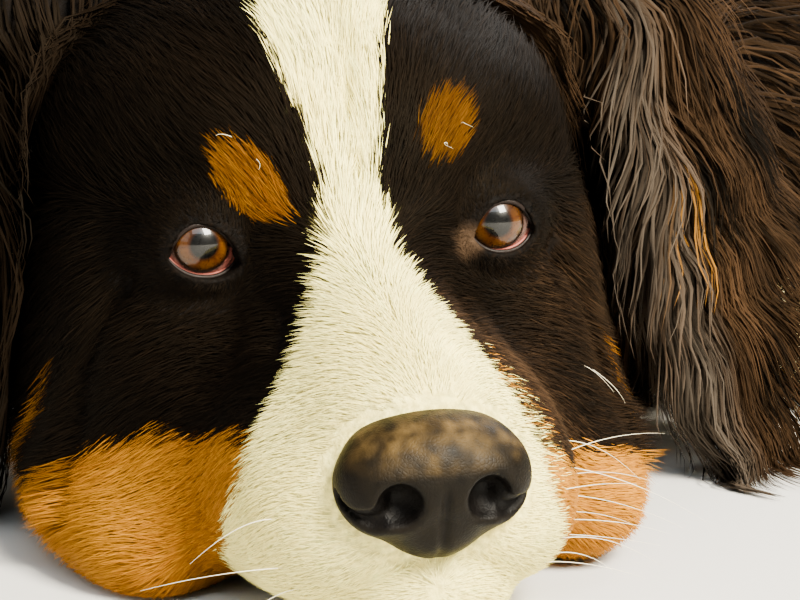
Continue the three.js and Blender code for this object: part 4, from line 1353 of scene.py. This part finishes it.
def coat(
    name, weight, count, lie, length, width, lift, steps, unwrap, seed, slot="black_coat", brown=0.012,
    even=0, accents=(), **shape,
):
    """One coat piece: tufts over the part of the skin that has weight."""
    rng = np.random.default_rng(seed)
    roots, normals = placed(weight, count, rng)
    length = drawn(length, roots, rng)
    width = drawn(width, roots, rng)
    lift = drawn(lift, roots, rng, length)
    corners, shown = grown(roots, normals, lie, length, width, lift, steps, rng, **shape)
    first = np.arange(count)[:, None, None] * corners.shape[1]
    faces = (hull(steps - 1, 3) + first).reshape(-1, 3)
    middle = lerp(roots, corners[:, -1], 0.6)
    white, tan = marks(middle)
    draw = rng.random(count)
    is_white = white > draw
    is_tan = ~is_white & (tan > draw - white)
    colour = tone(middle, is_white.astype(float), is_tan.astype(float), rng, brown, even)
    for where, accent in accents:
        colour = mixed(colour, accent, where(middle) * rng.uniform(0.4, 1, count))
    q = to_head(middle)
    above_nose = (1 - ramp(nose_body(q), 1, 6)) * ramp(q[:, 2], -37, -30) * rng.uniform(0.5, 1, count)
    colour = mixed(colour, DARK_BROWN, above_nose)
    # Painted shade: each tuft darker towards its root
    dim = np.where(is_white, ROOT_SHADE["white"], ROOT_SHADE["dark"])[:, None]
    along = np.array([0, *np.repeat(STOPS[steps][1:-1], 3), 1])
    shade = dim + (TIP_SHADE - dim) * along**0.7
    colours = np.clip(colour[:, None] * shade[..., None], 0, 1).reshape(-1, 3)
    patches = bake_patches(unwrap(roots), steps - 1)
    return piece(name, corners, faces, hair, colours, patches, shown)


# Where each piece of the coat grows: a weight for each corner of the skin

head_at = to_head(skin_corners)
skin_z = skin_corners[:, 2]
body_y = skin_corners[:, 1] - BODY_Y


def lid_gap(s):
    """Distance from the middle of the eye's opening, 1 where the hair starts."""
    across = (head_at[:, 0] - s * LIDS[s]["middle"]) / (LIDS[s]["half"] + 1.2)
    return np.hypot(across, (head_at[:, 2] + 0.4) / 8.9)


def gap(fields):
    return np.min([one(skin_corners) for one in fields], 0)


on_head = ramp(-head_at[:, 1], -128, -108) * (np.abs(head_at[:, 0]) < 98)
on_ear = [ramp(-one(head_at), -5, -2) for one in ears]
off_ears = (1 - on_ear[0]) * (1 - on_ear[1])
off_bare = ramp(np.min(both(lid_gap), 0), 1.0, 1.12) * ramp(nose_body(head_at), 1.5, 3.5)
on_face = on_head * off_ears * off_bare * (skin_z > 2.5)
in_front = ramp(-head_at[:, 1], -45, -5) * (1 + 2.5 * (1 - ramp(eye_away(head_at), 11, 17)))
on_paw = ramp(-gap(paws), -5, -2)
on_leg = ramp(-gap(forearms + hocks), -12, -5) * (1 - on_paw) * (skin_z < 110)
on_tail = ramp(-tail(skin_corners), -12, -5) * (body_y > 850)
on_trunk = (1 - on_head * off_ears) * off_ears * (1 - on_leg) * (1 - on_paw) * (1 - on_tail) * (skin_z > 3)
at_ruff = ramp(-body_y, -260, -200)


# Length, width and lift of the hair


def face_length(roots, rng):
    q = to_head(roots)
    y, z = q[:, 1], q[:, 2]
    long = np.interp(y, [-95, -70, -40, -10, 20, 70, 120], [4, 5.5, 8, 10.5, 13, 17, 24])
    long = long + 5 * ramp(-z, 30, 70) * ramp(y, -50, 0)
    return long * lerp(0.25, 1, ramp(eye_away(q), 10, 30)) * rng.uniform(0.75, 1.2, len(roots))


def face_width(roots, rng):
    q = to_head(roots)
    wide = np.interp(q[:, 1], [-95, -60, 0, 60, 120], [0.3, 0.34, 0.42, 0.6, 0.9])
    return wide * lerp(0.55, 1, ramp(eye_away(q), 10, 20)) * rng.uniform(0.75, 1.25, len(roots))


def face_lift(roots, rng, length):
    return length * rng.uniform(0.08, 0.24, len(roots))


def ear_length(roots, rng):
    """Longer towards the ear's lower end."""
    return rng.uniform(40, 62, len(roots)) + 24 * (1 - ramp(roots[:, 2], 28, 85))


def body_lift(roots, rng, length):
    low = lerp(0.5, 1, ramp(roots[:, 2], 0, 90))
    near_head = lerp(0.45, 1, ramp(to_head(roots)[:, 1], 90, 170))
    return 31 * low * near_head * rng.uniform(0.3, 1.0, len(roots)) ** 0.8


def ear_sheen(p):
    """Painted sheen: paler, greyer hair along the front edge of the left ear, where the light catches it."""
    q = (to_head(p) - EARS[1]["middle"]) @ ear_turn(1)
    edge = 1 - ramp(q[:, 1] + 5 * waver(p, 12, 3), -34, -18)
    return edge * (q[:, 0] > -14) * 0.7


def ear_gold(p):
    """A golden lock at the front edge of the left ear, below the eye's height."""
    return 1 - ramp(span((to_head(p) - [121, 50, -30]) / [11, 14, 6.5]), 0.4, 1)


for k in range(4):
    coat(
        f"coat_face_{k + 1}", on_face * in_front, 21000, head_lie, face_length, face_width, face_lift, 2,
        round_head, 100 + k, cell=1.9, softness=0.7,
    )
on_crown = on_face * np.clip(1.15 - in_front, 0, 1)
coat(
    "coat_crown", on_crown, 13000, head_lie, face_length, face_width, face_lift, 3, round_head, 110, cell=3,
    softness=0.65,
)
# The left ear's larger share of brown stands partly for reddish-brown hair and partly for painted sheen, and
# its front edge has more painted sheen as paler, greyer hair
for s, weight, count in zip(SIDES, on_ear, (4400, 2000)):
    ends = [from_head(in_ear(s, -6, 0, up)) for up in (70, -70)]
    coat(
        "coat_ear_" + SIDE_NAMES[s], weight * (skin_z > 3), count, ear_lie, ear_length, (0.7, 1.5), (2, 10),
        7, round_line(ends), 40 + s, brown=0.12 + 0.1 * s, even=0.75, sway=0.05, wave=18, cell=11, pull=0.75,
        accents=((ear_sheen, EAR_SHEEN), (ear_gold, GOLD)), hang=True, softness=0.7,
    )
round_body = round_line([on_body(-30, 60, 105), on_body(0, 200, 140), on_body(0, 860, 150)])
coat(
    "coat_ruff", on_trunk * at_ruff, 6500, body_lie, (46, 74), (1.4, 2.8), body_lift, 5, round_body, 60,
    brown=0.1, sway=0.09, wave=20, cell=12,
)
for k in range(2):
    coat(
        f"coat_body_{k + 1}", on_trunk * (1 - at_ruff), 6000, body_lie, (56, 92), (3.6, 6.4), body_lift, 4,
        round_body, 70 + k, brown=0.03, wave=26, cell=20,
    )
coat(
    "coat_tail", on_tail * (skin_z > 2), 2200, tail_lie, (60, 95), (3, 5.5), (9, 31), 4,
    round_line(tail_line), 80, brown=0.03, sway=0.12, wave=20, cell=18,
)
for s in SIDES:
    own_side = (s * (skin_corners[:, 0] - BODY_X) > 0) * (skin_z > 2.5)
    leg = [(150, 340, 45), (190, 128, 30), (172, 610, 50), (182, 797, 34)]
    foot = [(203, 130, 20), (203, 0, 20), (195, 660, 20), (195, 540, 20)]
    leg, foot = ([on_body(s * x, y, z) for x, y, z in line] for line in (leg, foot))
    coat(
        "coat_legs_" + SIDE_NAMES[s], on_leg * own_side, 4200, straight(0, 0.85, -0.5), (14, 30), (1.5, 2.8),
        (2, 8), 3, round_line(leg), 90 + s, "tan_coat",
    )
    coat(
        "coat_paws_" + SIDE_NAMES[s], on_paw * own_side, 5500, straight(0, -0.9, -0.35), (6, 10), (0.9, 1.5),
        (0.8, 2.4), 2, round_line(foot), 96 + s, "white_coat",
    )


# Floor, light and camera

floor = bpy.data.meshes.new("floor")
floor.from_pydata([(-9, -9, 0), (9, -9, 0), (9, 9, 0), (-9, 9, 0)], [], [(0, 1, 2, 3)])
pale_floor = bpy.data.materials.new("pale_floor")
pale_floor.use_nodes = True
feed(pale_floor.node_tree.nodes["Principled BSDF"], {"Base Color": (0.62, 0.61, 0.58, 1), "Roughness": 0.8})
floor.materials.append(pale_floor)
added("floor", floor)

world = bpy.data.worlds.new("studio")
world.use_nodes = True
feed(world.node_tree.nodes["Background"], {"Color": (1.0, 0.95, 0.85, 1), "Strength": 0.35})
bpy.context.scene.world = world

# Lamps: place, what each is aimed at, its two sides in metres, power and colour
LAMPS = {
    "key": ((1000, -1150, 1450), (0, 0, 90), (0.8, 0.8), 290, (1, 0.92, 0.76)),
    "fill": ((-1500, -1200, 900), (0, 0, 90), (1.6, 1.2), 14, (1, 0.96, 0.88)),
    "sky": ((150, -1300, 1500), (0, 0, 100), (1.5, 0.8), 26, (0.8, 0.9, 1)),
    "rim": ((900, 1700, 1500), (0, 400, 150), (1.6, 1.0), 60, (1, 0.98, 0.95)),
}
for name, (at, toward, sides, power, colour) in LAMPS.items():
    lamp = bpy.data.lights.new(name, "AREA")
    lamp.shape = "RECTANGLE"
    lamp.size, lamp.size_y = sides
    lamp.energy = power
    lamp.color = colour
    made = added(name, lamp)
    made.location = row_frame(at)
    aim = Vector(row_frame(toward) - row_frame(at))
    made.rotation_euler = aim.to_track_quat("-Z", "Y").to_euler()

camera = bpy.data.cameras.new("camera")
camera.lens = FOCUS_PIXELS / IMAGE_WIDTH * SENSOR_WIDTH
camera.clip_start, camera.clip_end = 0.02, 60
viewer = added("camera", camera)
viewer.location = row_frame(CAMERA_AT)
viewer.rotation_euler = (math.radians(90 - CAMERA_TILT), 0, 0)
bpy.context.scene.camera = viewer
